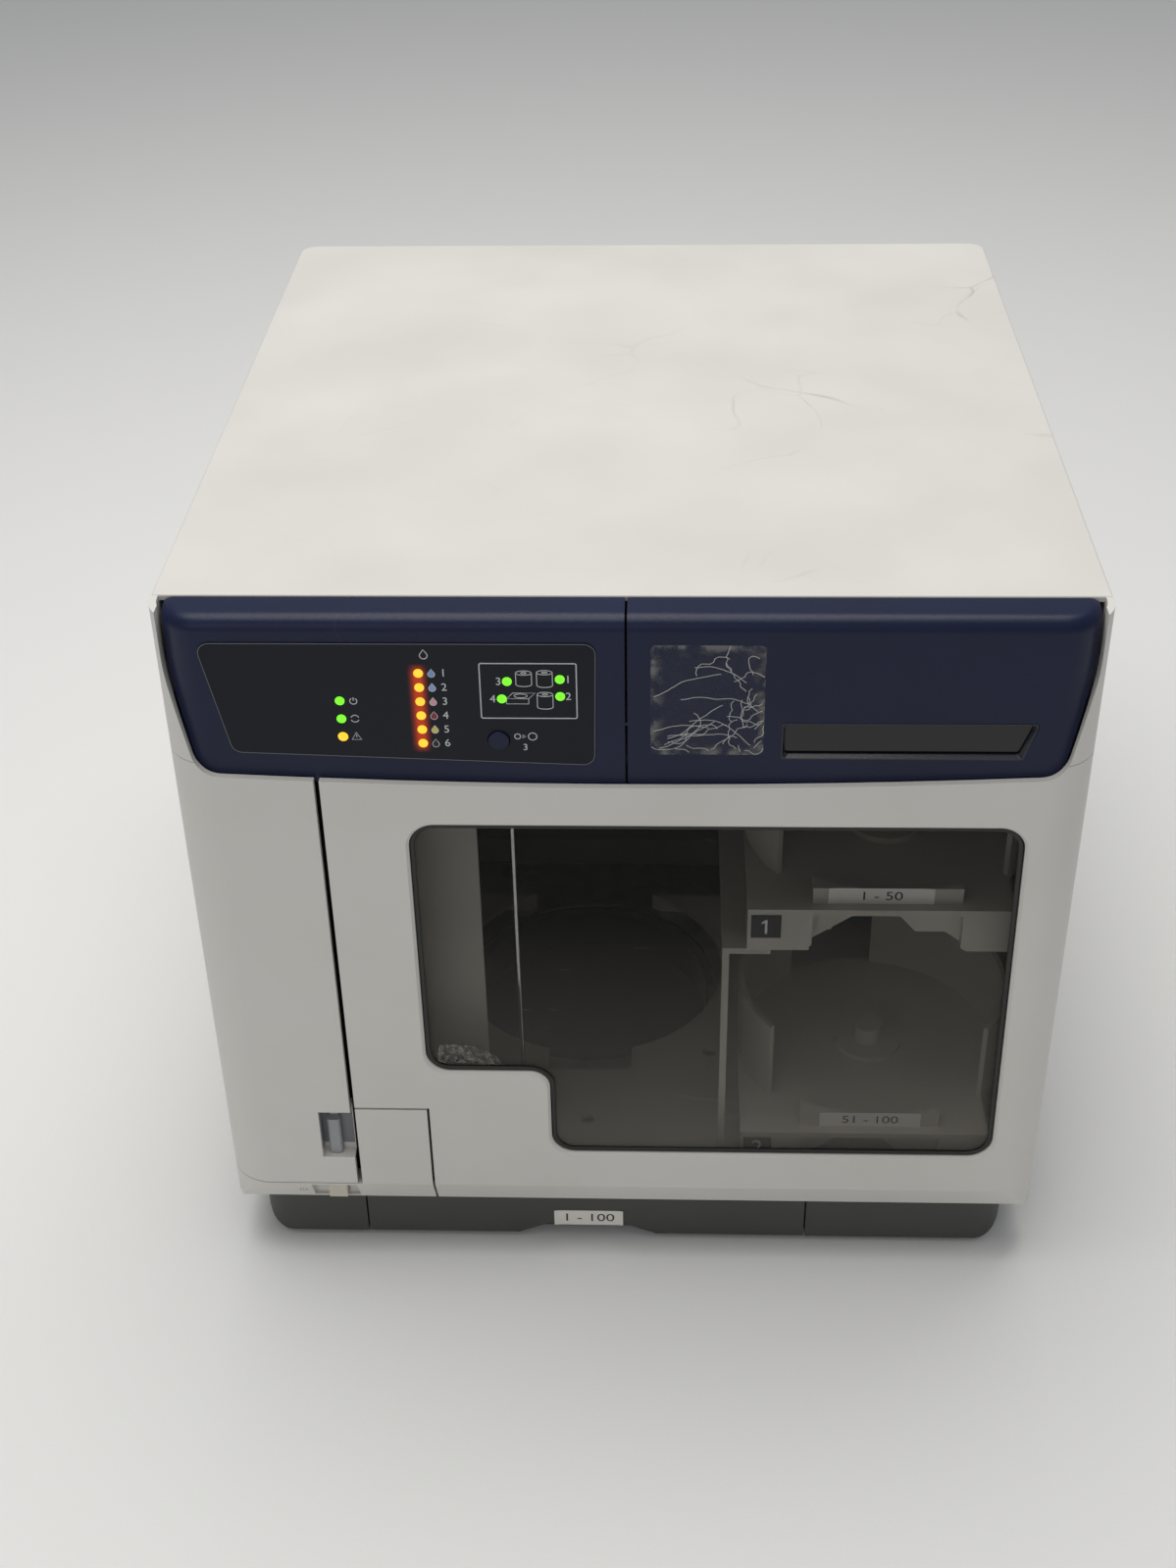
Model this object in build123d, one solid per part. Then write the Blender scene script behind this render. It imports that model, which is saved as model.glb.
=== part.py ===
from build123d import *
import os
from math import atan2, cos, degrees, radians, sin, sqrt

os.makedirs("parts", exist_ok=True)

# Disc label printer: a desktop machine that burns discs and prints their labels.
# Frame: X to the right seen from the front, Y to the back, Z up, millimetres.
# The origin is on the table, under the middle of the whole machine.

# ---- whole machine -------------------------------------------------------
WIDTH = 377.0
BODY_DEPTH = 425.0
HOOD_DEPTH = 40.0
HEIGHT = 348.0
COVER_BOTTOM = 31.0
WALL = 3.0
FRONT_CORNER = 20.0
REAR_CORNER = 9.0
PART_GAP = 0.3
SEAM = 0.5

FRONT = -(BODY_DEPTH + HOOD_DEPTH) / 2
REAR = FRONT + BODY_DEPTH
HALF_WIDTH = WIDTH / 2
INSIDE = HALF_WIDTH - WALL
DOOR_RETURN = 20.7
COVER_GAP = 1.2
DOOR_BACK = FRONT + DOOR_RETURN
COVER_FRONT = DOOR_BACK + COVER_GAP

# ---- slanted lower strip of the front -------------------------------------
CREASE_Z = 47.0
STRIP_SETBACK = 8.0

# ---- blue band ---------------------------------------------------------------
BAND_SETBACK = 3.5
BAND_WALL = 2.5
BAND_TOP_GAP = 0.3
BAND_DEPTH = 76.2
BAND_CORNER_RISE = 4.7
BAND_CORNER_INSET = 14.0
BAND_BEND_RISE = 50.2
BAND_END_INSET = 4.2
BAND_MIDDLE_Z = HEIGHT - BAND_DEPTH
BAND_CORNER_Z = BAND_MIDDLE_Z + BAND_CORNER_RISE
BAND_CORNER_X = HALF_WIDTH - BAND_CORNER_INSET
BAND_BEND_Z = BAND_MIDDLE_Z + BAND_BEND_RISE
BAND_END_X = HALF_WIDTH - BAND_END_INSET
BAND_CORNER_RADIUS = 12.0
BAND_BEND_RADIUS = 60.0
BAND_TUCK = 2.2
BAND_END_GAP = 1.2
BAND_TOP_ROUND = 6.0
BAND_SEAM_X = -0.6
BAND_SEAM = 1.0
EAR_SPLIT_RISE = 10.4
EAR_SPLIT_Z = BAND_MIDDLE_Z + EAR_SPLIT_RISE

# ---- top cover ----------------------------------------------------------------
LID_THICKNESS = 2.5
LID_SKIRT = 9.0
LID_SKIRT_WALL = 2.0
LID_EDGE_ROUND = 0.9

# ---- rear cover and hood ------------------------------------------------------
REAR_COVER_DEPTH = 12.5
HOOD_X = (64.0, 180.0)
HOOD_Z = (196.0, 306.0)
HOOD_WALL = 2.5
HOOD_SLOT_COUNT = 8
HOOD_SLOT = 5.0
HOOD_EDGE = 9.0
REAR_SLOT_COUNT = 9
REAR_SLOT = (60.0, 4.5)
REAR_SLOT_PITCH = 11.0
REAR_SLOTS_AT = (-90.0, 110.0)

# ---- base tray, drawer and feet -----------------------------------------------
BASE_HALF_WIDTH = 177.0
BASE_SETBACK = 12.5
BASE_REAR_SETBACK = 6.0
BASE_FRONT = FRONT + BASE_SETBACK
BASE_BACK = REAR - BASE_REAR_SETBACK
BASE_BOTTOM = 3.0
BASE_FLOOR = 2.5
BASE_WALL = 3.0
BASE_END_ROUND = 12.0
BASE_CORNER = 14.0
DRAWER_X = (-126.5, 82.5)
DRAWER_SIDE_GAP = 0.8
FASCIA_THICKNESS = 5.0
FASCIA_TOP = 30.0
NOTCH_X = (-54.0, -39.5, -4.0, 12.0)
NOTCH_HEIGHT = 6.5
TRAY_HALF_WIDTH = 68.0
TRAY_WALL = 2.0
TRAY_FLOOR = 2.0
TRAY_TOP = 29.0
TRAY_LIFT = 0.5
RUNNER_WIDTH = 4.0
RUNNER_TOP = 18.0
FOOT_RADIUS = 13.0
FOOT_X = 150.0
FOOT_Y = (-188.0, 160.0)

# ---- discs and the places they go to -------------------------------------------
DISC_RADIUS = 60.0
DISC_FIT = 1.5
LEFT_DISC = (-24.0, -64.0)
RIGHT_DISC = (115.0, -150.0)
ARM_REACH = 113.0

# ---- chassis ------------------------------------------------------------------
PAN_THICKNESS = 2.0
PAN_FRONT = -208.0
DROP_HOLE_RADIUS = 66.0
FLOOR_Z = 42.5
FLOOR_THICKNESS = 2.5
FLOOR_HOLE_RADIUS = 70.0
FLOOR_FRONT = -204.5
FLOOR_BACK = -2.0
CHAMBER_SIDE_GAP = 4.8
FLOOR_RIGHT = INSIDE - CHAMBER_SIDE_GAP
FINGER_X = (-43.0, -1.0)
FINGER_FRONT = -147.0
FLOOR_SCREW_HOLES = ((-21.8, -182.5), (38.0, -133.0))
POST_X = (40.5, 43.5)
POST_Y = (-213.0, -206.0)
DIVIDER_X = -95.5
DIVIDER_WALL = 2.0
DIVIDER_STRIP = 30.0
CHAMBER_TOP_DROP = 3.8
CHAMBER_TOP = BAND_MIDDLE_Z - CHAMBER_TOP_DROP

# ---- front frame ---------------------------------------------------------------
FRAME_Y = (-209.0, -205.0)
FRAME_SIDE_GAP = 1.0
FRAME_HALF_WIDTH = INSIDE - FRAME_SIDE_GAP
FRAME_WINDOW_X = (-150.0, 150.0)
FRAME_BAR = 15.0
CHAMBER_X = (DIVIDER_X, FLOOR_RIGHT)
INK_BAY_GAP = 3.5
INK_BAY_X = (INK_BAY_GAP - INSIDE, -129.5)
INK_BAY_BOTTOM = 52.0

# ---- doors --------------------------------------------------------------------
DOOR_SEAM_X = -126.5
DOOR_SEAM = 2.3
BLOCK_X = -92.5
BLOCK_TOP = 94.0
BLOCK_SEAM = 1.2
DOOR_CHAMFER = 2.8
HINGE_INSET = 7.2
HINGE_FORWARD = 5.8
HINGE_PIN = 1.5
PIN_RADIUS = 2.0
PIN_FIT = 0.05
BRACKET_THICKNESS = 3.0
BRACKET_LOW_Z = 36.0
INK_BRACKET_LOW_Z = 48.8
BRACKET_DROP = 3.3
BRACKET_HIGH_Z = BAND_MIDDLE_Z - BRACKET_DROP
BRACKET_REACH = 19.0
BRACKET_WIDTH = 5.0
KNUCKLE_THICKNESS = 3.0
KNUCKLE_GAP = 0.4
KNUCKLE_RADIUS = 2.9

WINDOW_LEFT = -91.0
WINDOW_SIDE_BAR = (26.2, 23.6)
WINDOW_TOP_BAR = 19.5
WINDOW_RIGHT = (HALF_WIDTH - WINDOW_SIDE_BAR[0], HALF_WIDTH - WINDOW_SIDE_BAR[1])
WINDOW_TOP = BAND_MIDDLE_Z - WINDOW_TOP_BAR
WINDOW_BOTTOM = 68.0
WINDOW_STEP = (-36.0, 117.0)
WINDOW_RADIUS = 11.0
WINDOW_STEP_RADIUS = 9.0
WINDOW_EDGE_ROUND = 1.2
PANE_LAP = 3.4
PANE_THICKNESS = 2.0

# ---- lower front panel and power button ---------------------------------------
POWER_X = (-142.5, -134.0)
POWER_Z = (33.6, 43.3)
POWER_WELL_X = (-150.0, -128.2)
POWER_WELL_Z = (32.6, 44.6)
POWER_WELL_FLOOR = 9.0
WELL_WALL = 1.6
POWER_STAND = 4.6
BUTTON_GAP = 0.3
PANEL_FOOT_X = (-170.0, -108.0)
PANEL_FOOT = 6.0

# ---- ink door latch --------------------------------------------------------------
LATCH_WELL_X = -142.4
LATCH_WELL_Z = (64.0, 92.0)
LATCH_WELL_DEPTH = 6.5
LATCH_X = (-139.6, -133.4)
LATCH_Z = (62.8, 85.0)
LATCH_PAD = 3.6
LATCH_STEM_Z = (70.0, 76.0)
LATCH_STEM_INSET = 1.6
LATCH_STEM_LENGTH = 7.0
LATCH_TRAVEL = 4.0

# ---- control panel ---------------------------------------------------------------
OVERLAY_TOP = (-169.5, -12.0, 337.3)
OVERLAY_BOTTOM = (-159.5, 286.0, -13.0, 280.5)
OVERLAY_ROUND = 5.0
OVERLAY_THICKNESS = 0.4
LAMP_RADIUS = 1.9
LAMP_HEIGHT = 0.3
STATUS_LAMP_X = -114.0
STATUS_LAMP_Z = (311.0, 302.6, 294.3)
INK_LAMP_X = -82.0
INK_LAMP_TOP = 323.8
INK_LAMP_BOTTOM = 291.2
INK_COLOURS = 6
STACKER_LAMPS = ((-47.3, 320.2), (-49.6, 312.2), (-26.5, 321.2), (-26.5, 313.4))
KEY_AT = (-51.6, 292.7)
KEY_RADIUS = 4.3
KEY_PROUD = 1.3
KEY_LENGTH = 5.6
BOARD_THICKNESS = 1.6
BOARD_X = (-160.0, -16.0)
BOARD_Z = (288.0, 334.0)
BOARD_STANDOFF = 4.0
BAND_RIB_X = (-130.0, -66.0, -8.0, 20.0, 110.0, 166.0)
BAND_RIB = 2.0
BAND_RIB_Z = (306.0, 341.0)
SLOT_TOP = (61.0, 163.0, 301.0)
SLOT_BOTTOM = (61.0, 157.5, 284.0)
SLOT_ROUND = 1.5
SLOT_PANE = 2.0
SLOT_PANE_LAP = 3.0

# ---- stackers ------------------------------------------------------------------
STACKER_FLOORS = (197.0, 66.0)
STACKER_WALL = 2.5
STACKER_FLOOR = 3.0
STACKER_RISE = 42.0
STACKER_HUB_RADIUS = 16.0
STACKER_HUB_HEIGHT = 3.0
STACKER_PEG_RADIUS = 7.0
STACKER_PEG_HEIGHT = 12.0
ARM_SLOT_HALF = 20.0
FRONT_OPEN_HALF = 52.0
WEDGE_SIDES = 4
SKIRT_FRONT = -215.0
SKIRT_X = (51.0, 166.0)
SKIRT_DROP = 22.0
SKIRT_CLEARANCE = 1.0
SKIRT_MIDDLE_X = (79.0, 143.5)
SKIRT_MIDDLE_BACK = 5.0
SKIRT_RISE = 8.0
SKIRT_BLOCK_TOP = 1.5
SKIRT_DEPTH = 16.0
SKIRT_WALL = 3.0
ARCH_X = (78.0, 97.0, 117.0, 124.0, 137.0, 146.0)
ARCH_RISE = (2.0, 15.5, 15.5, 7.0, 7.0, 0.0)
LABEL_X = (52.5, 65.5)
LABEL_Z = (-15.0, -3.0)
LABEL_THICKNESS = 0.5
SHELF_THICKNESS = 3.0
SHELF_RAIL = 15.0
SHELF_BACK = -84.0
SHELF_WALL = 2.5

# ---- arm ------------------------------------------------------------------------
SHAFT_RADIUS = 4.0
RUNNING_FIT = 0.05
SHAFT_SPREAD = 15.0
SHAFT_BEHIND = 22.0
ARM_POST_BEHIND = 34.0
ARM_POST_WALL = 2.0
ARM_POST_X = (26.0, 46.0)
ARM_POST_TOP = 306.0
ARM_REST_Z = 260.0
CARRIAGE_HEIGHT = 34.0
CARRIAGE_HALF_WIDTH = 23.0
CARRIAGE_DEPTH = 15.0
LUG_THICKNESS = 4.0
LUG_HALF_WIDTH = 9.0
HUB_RADIUS = 12.0
ARM_BAR_WIDTH = 18.0
ARM_BAR_HEIGHT = 8.0
ARM_BAR_LIFT = 4.0
HEAD_RADIUS = 17.0
HEAD_DROP = 12.0
JAW_RADIUS = 7.0
JAW_SPLIT = 3.0
JAW_LENGTH = 7.0
JAW_TRAVEL = 0.8
JAW_STEM = 5.0
PULLEY_RADIUS = 7.0
PULLEY_WIDTH = 8.0
BELT_WIDTH = 6.0
BELT_THICKNESS = 1.2
MOTOR_SIZE = 35.0
MOTOR_LENGTH = 26.0

# ---- disc drives ------------------------------------------------------------------
DRIVE_WIDTH = 148.0
DRIVE_HEIGHT = 41.3
DRIVE_DEPTH = 168.0
DRIVE_FRONT = 6.0
DRIVE_Z = (104.0, 58.0)
DRIVE_TRAY_HALF = 65.0
DRIVE_TRAY_HEIGHT = 8.0
DRIVE_TRAY_LIFT = 20.0
DRIVE_TRAY_LENGTH = 146.0
DRIVE_TRAY_FRONT_PLATE = 4.0
DRIVE_TRAY_PLATE_HEIGHT = 13.0
DRIVE_TRAY_FIT = 0.4
DRIVE_BAY_BACK = 156.0
DRIVE_DISC_Y = 71.0
CAGE_WALL = 2.0
CAGE_TOP = 151.0
CAGE_Y = (10.0, 172.0)

# ---- printer -------------------------------------------------------------------------
PRINTER_X = (-124.0, 76.0)
PRINTER_Y = (4.0, 186.0)
PRINTER_TOP = 264.0
PRINTER_WALL = 2.0
PRINTER_SIDE_FRONT = 20.0
PRINT_TRAY_HALF = 66.0
PRINT_TRAY_Y = (34.0, 182.0)
PRINT_TRAY_Z = (156.0, 163.0)
PRINT_DISC_Y = 100.0
PRINT_RAIL = 4.0
RAIL_Y = 76.0
RAIL_Z = (192.0, 226.0)
HEAD_X = (-119.0, -67.0)
HEAD_Y = (24.0, 88.0)
HEAD_Z = (176.0, 240.0)
HEAD_NOZZLE = (18.0, 30.0, 6.0)
HEAD_NOZZLE_Y = 40.0

# ---- ink --------------------------------------------------------------------------------
INK_HOLDER_X = (INK_BAY_X[0], -131.0)
INK_HOLDER_Y = (-204.5, -92.0)
INK_HOLDER_TOP = 264.0
INK_BAY_FIRST = 57.0
INK_BAY_PITCH = 34.0
INK_BAY_HEIGHT = 31.5
INK_BAY_WALL = 2.0
CARTRIDGE_HEIGHT = 27.0
CARTRIDGE_LENGTH = 104.0
CARTRIDGE_PROUD = 2.0
CARTRIDGE_ROUND = 2.0

# ---- electrics ---------------------------------------------------------------------------
SUPPLY_X = (100.0, 176.0)
SUPPLY_Y = (24.0, 158.0)
SUPPLY_Z = 92.0
SUPPLY_SLOT_COUNT = 9
MAIN_BOARD_X = (-112.0, 64.0)
MAIN_BOARD_Y = (44.0, 176.0)
BOARD_LIFT = 6.0
FAN_AT = (122.0, 251.0)
FAN_SIZE = 80.0
FAN_DEPTH = 25.0
FAN_BORE = 37.0
FAN_HUB = 16.0
FAN_BLADES = 7
FAN_PIN = 2.0
BLADE_THICKNESS = 1.6
BLADE_PITCH = 38.0
INLET_AT = (146.0, 62.0)
INLET_SIZE = (27.0, 20.0)
INLET_DEPTH = 22.0
INLET_RIM = 2.0
INLET_CUT = 2.0
INLET_ROUND = 1.0
INLET_BLADES = ((-7.0, -2.0), (0.0, 2.0), (7.0, -2.0))
INLET_BLADE = (2.0, 4.0)
USB_AT = (88.0, 62.0)
USB_SIZE = (12.2, 11.0)
USB_DEPTH = 14.0
USB_WALL = 1.0
USB_BACK = 2.0
SCREW_RADIUS = 3.2
SCREW_SHANK = 1.5
SCREW_LENGTH = 5.0
SCREW_HEAD = 1.8
SCREWS_AT = ((-172.0, 48.0), (172.0, 48.0), (-172.0, 326.0), (172.0, 326.0), (0.0, 40.0), (0.0, 334.0))


# ---- shapes used throughout ---------------------------------------------------
def block(x_span, y_span, z_span):
    size = (x_span[1] - x_span[0], y_span[1] - y_span[0], z_span[1] - z_span[0])
    middle = ((x_span[0] + x_span[1]) / 2, (y_span[0] + y_span[1]) / 2, (z_span[0] + z_span[1]) / 2)
    return Pos(*middle) * Box(*size)


def plan_prism(sketch, z_low, z_high):
    return extrude(Pos(0, 0, z_low) * sketch, amount=z_high - z_low, dir=(0, 0, 1))


def front_prism(sketch, y_low, y_high):
    return extrude(Plane.XZ.offset(-y_low) * sketch, amount=y_high - y_low, dir=(0, 1, 0))


def side_prism(sketch, x_low, x_high):
    return extrude(Plane.YZ.offset(x_low) * sketch, amount=x_high - x_low, dir=(1, 0, 0))


def post(centre, radius, z_low, z_high):
    return plan_prism(Pos(*centre) * Circle(radius), z_low, z_high)


def rod_y(x, z, radius, y_low, y_high):
    return front_prism(Pos(x, z) * Circle(radius), y_low, y_high)


def rod_x(y, z, radius, x_low, x_high):
    return side_prism(Pos(y, z) * Circle(radius), x_low, x_high)


def span_of(one, other):
    return (min(one, other), max(one, other))


def polygon(points):
    return Polygon(*points, align=None)


def rounded_polygon(points, radii):
    shape = polygon(points)
    for point, radius in zip(points, radii):
        if radius > 0:
            corner = shape.vertices().sort_by_distance((point[0], point[1], 0))[0]
            shape = fillet(corner, radius)
    return shape


def column_of(shape, middle, pitch, count):
    return Sketch() + [Pos(*middle) * place * shape for place in GridLocations(0, pitch, 1, count)]


def save(name, *shapes):
    solids = []
    for shape in shapes:
        solids.extend(shape.solids())
    whole = solids[0] if len(solids) == 1 else Compound(children=solids)
    export_step(whole, "parts/" + name + ".step")


# ---- outer form -----------------------------------------------------------------
def body_plan(inset):
    x = HALF_WIDTH - inset
    low = FRONT + inset
    high = REAR - inset
    points = [(-x, low), (x, low), (x, high), (-x, high)]
    front = FRONT_CORNER - inset
    rear = REAR_CORNER - inset
    return rounded_polygon(points, [front, front, rear, rear])


def lower_strip_cut(inset):
    reach = HALF_WIDTH + WALL
    low = COVER_BOTTOM - WALL
    slope = STRIP_SETBACK / (CREASE_Z - COVER_BOTTOM)
    back = FRONT + inset * sqrt(1 + slope * slope)
    out = FRONT - WALL
    points = [(out, CREASE_Z), (back, CREASE_Z), (back + slope * (CREASE_Z - low), low), (out, low)]
    return side_prism(polygon(points), -reach, reach)


def outer_solid():
    return plan_prism(body_plan(0), COVER_BOTTOM, HEIGHT) - lower_strip_cut(0)


def inner_solid():
    return plan_prism(body_plan(WALL), COVER_BOTTOM - WALL, HEIGHT + WALL) - lower_strip_cut(WALL)


def band_outline(lower, narrower):
    top = HEIGHT + WALL
    end = BAND_END_X - narrower
    corner = BAND_CORNER_X - narrower
    base = BAND_CORNER_Z - lower
    left = Line((-end, BAND_BEND_Z), (-corner, base))
    bottom = ThreePointArc((-corner, base), (0, BAND_MIDDLE_Z - lower), (corner, base))
    right = Line((corner, base), (end, BAND_BEND_Z))
    rest = Polyline((end, BAND_BEND_Z), (end, top), (-end, top), (-end, BAND_BEND_Z))
    shape = make_face([left, bottom, right, rest])
    for x, z, radius in ((corner, base, BAND_CORNER_RADIUS), (end, BAND_BEND_Z, BAND_BEND_RADIUS)):
        for side in (-1, 1):
            vertex = shape.vertices().sort_by_distance((side * x, z, 0))[0]
            shape = fillet(vertex, radius)
    return shape


SHELL = outer_solid() - inner_solid()
BAND_OPENING = front_prism(band_outline(0, 0), FRONT - WALL, COVER_FRONT - SEAM)
BELOW_EARS = (COVER_BOTTOM - WALL, EAR_SPLIT_Z)
ALL_X = (-HALF_WIDTH - WALL, HALF_WIDTH + WALL)
DOOR_DEPTH = (FRONT - WALL, DOOR_BACK)
FRONT_SHELL = SHELL & block(ALL_X, DOOR_DEPTH, BELOW_EARS)
FRONT_SHELL = FRONT_SHELL - BAND_OPENING
HINGE_X = HALF_WIDTH - HINGE_INSET
HINGE_Y = DOOR_BACK - HINGE_FORWARD


# ---- side, top and rear covers ----------------------------------------------------
def side_cover(side):
    lid_z = HEIGHT - LID_THICKNESS - PART_GAP
    rear_seam = REAR - REAR_COVER_DEPTH - PART_GAP
    x_span = (HALF_WIDTH - FRONT_CORNER, HALF_WIDTH + WALL)
    if side < 0:
        x_span = (-HALF_WIDTH - WALL, FRONT_CORNER - HALF_WIDTH)
    panel = block(x_span, (COVER_FRONT, rear_seam), (COVER_BOTTOM, lid_z))
    ear = block(x_span, (FRONT - WALL, COVER_FRONT), (EAR_SPLIT_Z + PART_GAP, HEIGHT))
    ear = ear - BAND_OPENING
    return (SHELL & (panel + ear)).solids().sort_by(SortBy.VOLUME)[-1]


def top_cover():
    y_front = COVER_FRONT + SEAM
    plan = body_plan(0) & (Pos(0, (y_front + REAR) / 2) * Rectangle(WIDTH, REAR - y_front))
    lid = plan_prism(plan, HEIGHT - LID_THICKNESS, HEIGHT)
    lid = fillet(lid.edges().group_by(Axis.Z)[-1], LID_EDGE_ROUND)
    skirt_front = FRAME_Y[1] + PART_GAP
    skirt_area = Pos(0, (skirt_front + REAR) / 2) * Rectangle(WIDTH, REAR - skirt_front)
    skirt = (body_plan(WALL) - body_plan(WALL + LID_SKIRT_WALL)) & skirt_area
    low = HEIGHT - LID_THICKNESS - LID_SKIRT
    return lid + plan_prism(skirt, low, HEIGHT - LID_THICKNESS)


def rear_cover():
    lid_z = HEIGHT - LID_THICKNESS - PART_GAP
    cover = SHELL & block(ALL_X, (REAR - REAR_COVER_DEPTH, REAR + WALL), (COVER_BOTTOM, lid_z))
    through = (REAR - 2 * WALL, REAR + WALL)
    fan_hole = rod_y(FAN_AT[0], FAN_AT[1], FAN_BORE, *through)
    inlet = front_prism(Pos(*INLET_AT) * Rectangle(*INLET_SIZE), *through)
    usb = front_prism(Pos(*USB_AT) * Rectangle(*USB_SIZE), *through)
    slot_face = column_of(SlotOverall(*REAR_SLOT), REAR_SLOTS_AT, REAR_SLOT_PITCH, REAR_SLOT_COUNT)
    cover = cover - fan_hole - inlet - usb - front_prism(slot_face, *through)
    holes = Sketch() + [Pos(x, z) * Circle(SCREW_SHANK) for x, z in SCREWS_AT]
    return cover - front_prism(holes, *through)


def exhaust_hood():
    wide = HOOD_X[1] - HOOD_X[0]
    tall = HOOD_Z[1] - HOOD_Z[0]
    centre = ((HOOD_X[0] + HOOD_X[1]) / 2, (HOOD_Z[0] + HOOD_Z[1]) / 2)
    back = REAR + HOOD_DEPTH
    outer = RectangleRounded(wide, tall, REAR_CORNER)
    inside = RectangleRounded(wide - 2 * HOOD_WALL, tall - 2 * HOOD_WALL, REAR_CORNER - HOOD_WALL)
    hood = front_prism(Pos(*centre) * outer, REAR, back)
    hood = hood - front_prism(Pos(*centre) * inside, REAR - WALL, back - HOOD_WALL)
    pitch = (tall - 2 * HOOD_EDGE) / HOOD_SLOT_COUNT
    openings = column_of(SlotOverall(wide - 2 * HOOD_EDGE, HOOD_SLOT), centre, pitch, HOOD_SLOT_COUNT)
    return hood - front_prism(openings, back - 2 * HOOD_WALL, back + HOOD_WALL)


# ---- base, feet and output drawer ----------------------------------------------------
def base_tray():
    front_view = rounded_polygon(
        [
            (-BASE_HALF_WIDTH, BASE_BOTTOM),
            (BASE_HALF_WIDTH, BASE_BOTTOM),
            (BASE_HALF_WIDTH, COVER_BOTTOM),
            (-BASE_HALF_WIDTH, COVER_BOTTOM),
        ],
        [BASE_END_ROUND, BASE_END_ROUND, 0, 0],
    )
    plan = Pos(0, (BASE_FRONT + BASE_BACK) / 2) * RectangleRounded(
        2 * BASE_HALF_WIDTH, BASE_BACK - BASE_FRONT, BASE_CORNER
    )
    tray = front_prism(front_view, BASE_FRONT, BASE_BACK) & plan_prism(plan, BASE_BOTTOM, COVER_BOTTOM)
    inset = BASE_HALF_WIDTH - BASE_END_ROUND
    floor_z = BASE_BOTTOM + BASE_FLOOR
    tray = tray - block(
        (-inset, inset), (BASE_FRONT + BASE_END_ROUND, BASE_BACK - BASE_WALL), (floor_z, COVER_BOTTOM)
    )
    mouth_x = (DRAWER_X[0] - DRAWER_SIDE_GAP, DRAWER_X[1] + DRAWER_SIDE_GAP)
    fascia_back = BASE_FRONT + FASCIA_THICKNESS + PART_GAP
    tray = tray - block(mouth_x, (BASE_FRONT - WALL, fascia_back), (0, HEIGHT))
    behind = (fascia_back - PART_GAP, BASE_FRONT + 2 * BASE_END_ROUND)
    tray = tray - block(mouth_x, behind, (floor_z, HEIGHT))
    for side in (-1, 1):
        near = LEFT_DISC[0] + side * (TRAY_HALF_WIDTH + PART_GAP)
        far = near + side * RUNNER_WIDTH
        runner_y = (BASE_FRONT + BASE_END_ROUND, LEFT_DISC[1] + TRAY_HALF_WIDTH)
        tray = tray + block(span_of(near, far), runner_y, (floor_z, RUNNER_TOP))
    return tray


def foot_places():
    return [(x, y) for x in (-FOOT_X, FOOT_X) for y in FOOT_Y]


def rubber_feet():
    return [post(place, FOOT_RADIUS, 0, BASE_BOTTOM) for place in foot_places()]


def drawer_fascia():
    low = BASE_BOTTOM + PART_GAP
    points = [
        (DRAWER_X[0], low),
        (NOTCH_X[0], low),
        (NOTCH_X[1], low + NOTCH_HEIGHT),
        (NOTCH_X[2], low + NOTCH_HEIGHT),
        (NOTCH_X[3], low),
        (DRAWER_X[1], low),
        (DRAWER_X[1], FASCIA_TOP),
        (DRAWER_X[0], FASCIA_TOP),
    ]
    return front_prism(polygon(points), BASE_FRONT, BASE_FRONT + FASCIA_THICKNESS)


def output_drawer():
    low = BASE_BOTTOM + BASE_FLOOR + TRAY_LIFT
    x_span = (LEFT_DISC[0] - TRAY_HALF_WIDTH, LEFT_DISC[0] + TRAY_HALF_WIDTH)
    front = BASE_FRONT + FASCIA_THICKNESS
    back = LEFT_DISC[1] + TRAY_HALF_WIDTH
    tray = block(x_span, (front, back), (low, TRAY_TOP))
    tray = tray - post(LEFT_DISC, DISC_RADIUS + DISC_FIT, low + TRAY_FLOOR, HEIGHT)
    hollow_x = (x_span[0] + TRAY_WALL, x_span[1] - TRAY_WALL)
    tray = tray - block(hollow_x, (front + WALL, LEFT_DISC[1]), (low + TRAY_FLOOR, HEIGHT))
    return tray


# ---- chassis -----------------------------------------------------------------------------
def chassis_pan():
    area = block(ALL_X, (PAN_FRONT, REAR), (COVER_BOTTOM, COVER_BOTTOM + PAN_THICKNESS))
    pan = plan_prism(body_plan(WALL), COVER_BOTTOM, COVER_BOTTOM + PAN_THICKNESS) & area
    return pan - post(LEFT_DISC, DROP_HOLE_RADIUS, 0, HEIGHT)


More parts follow.
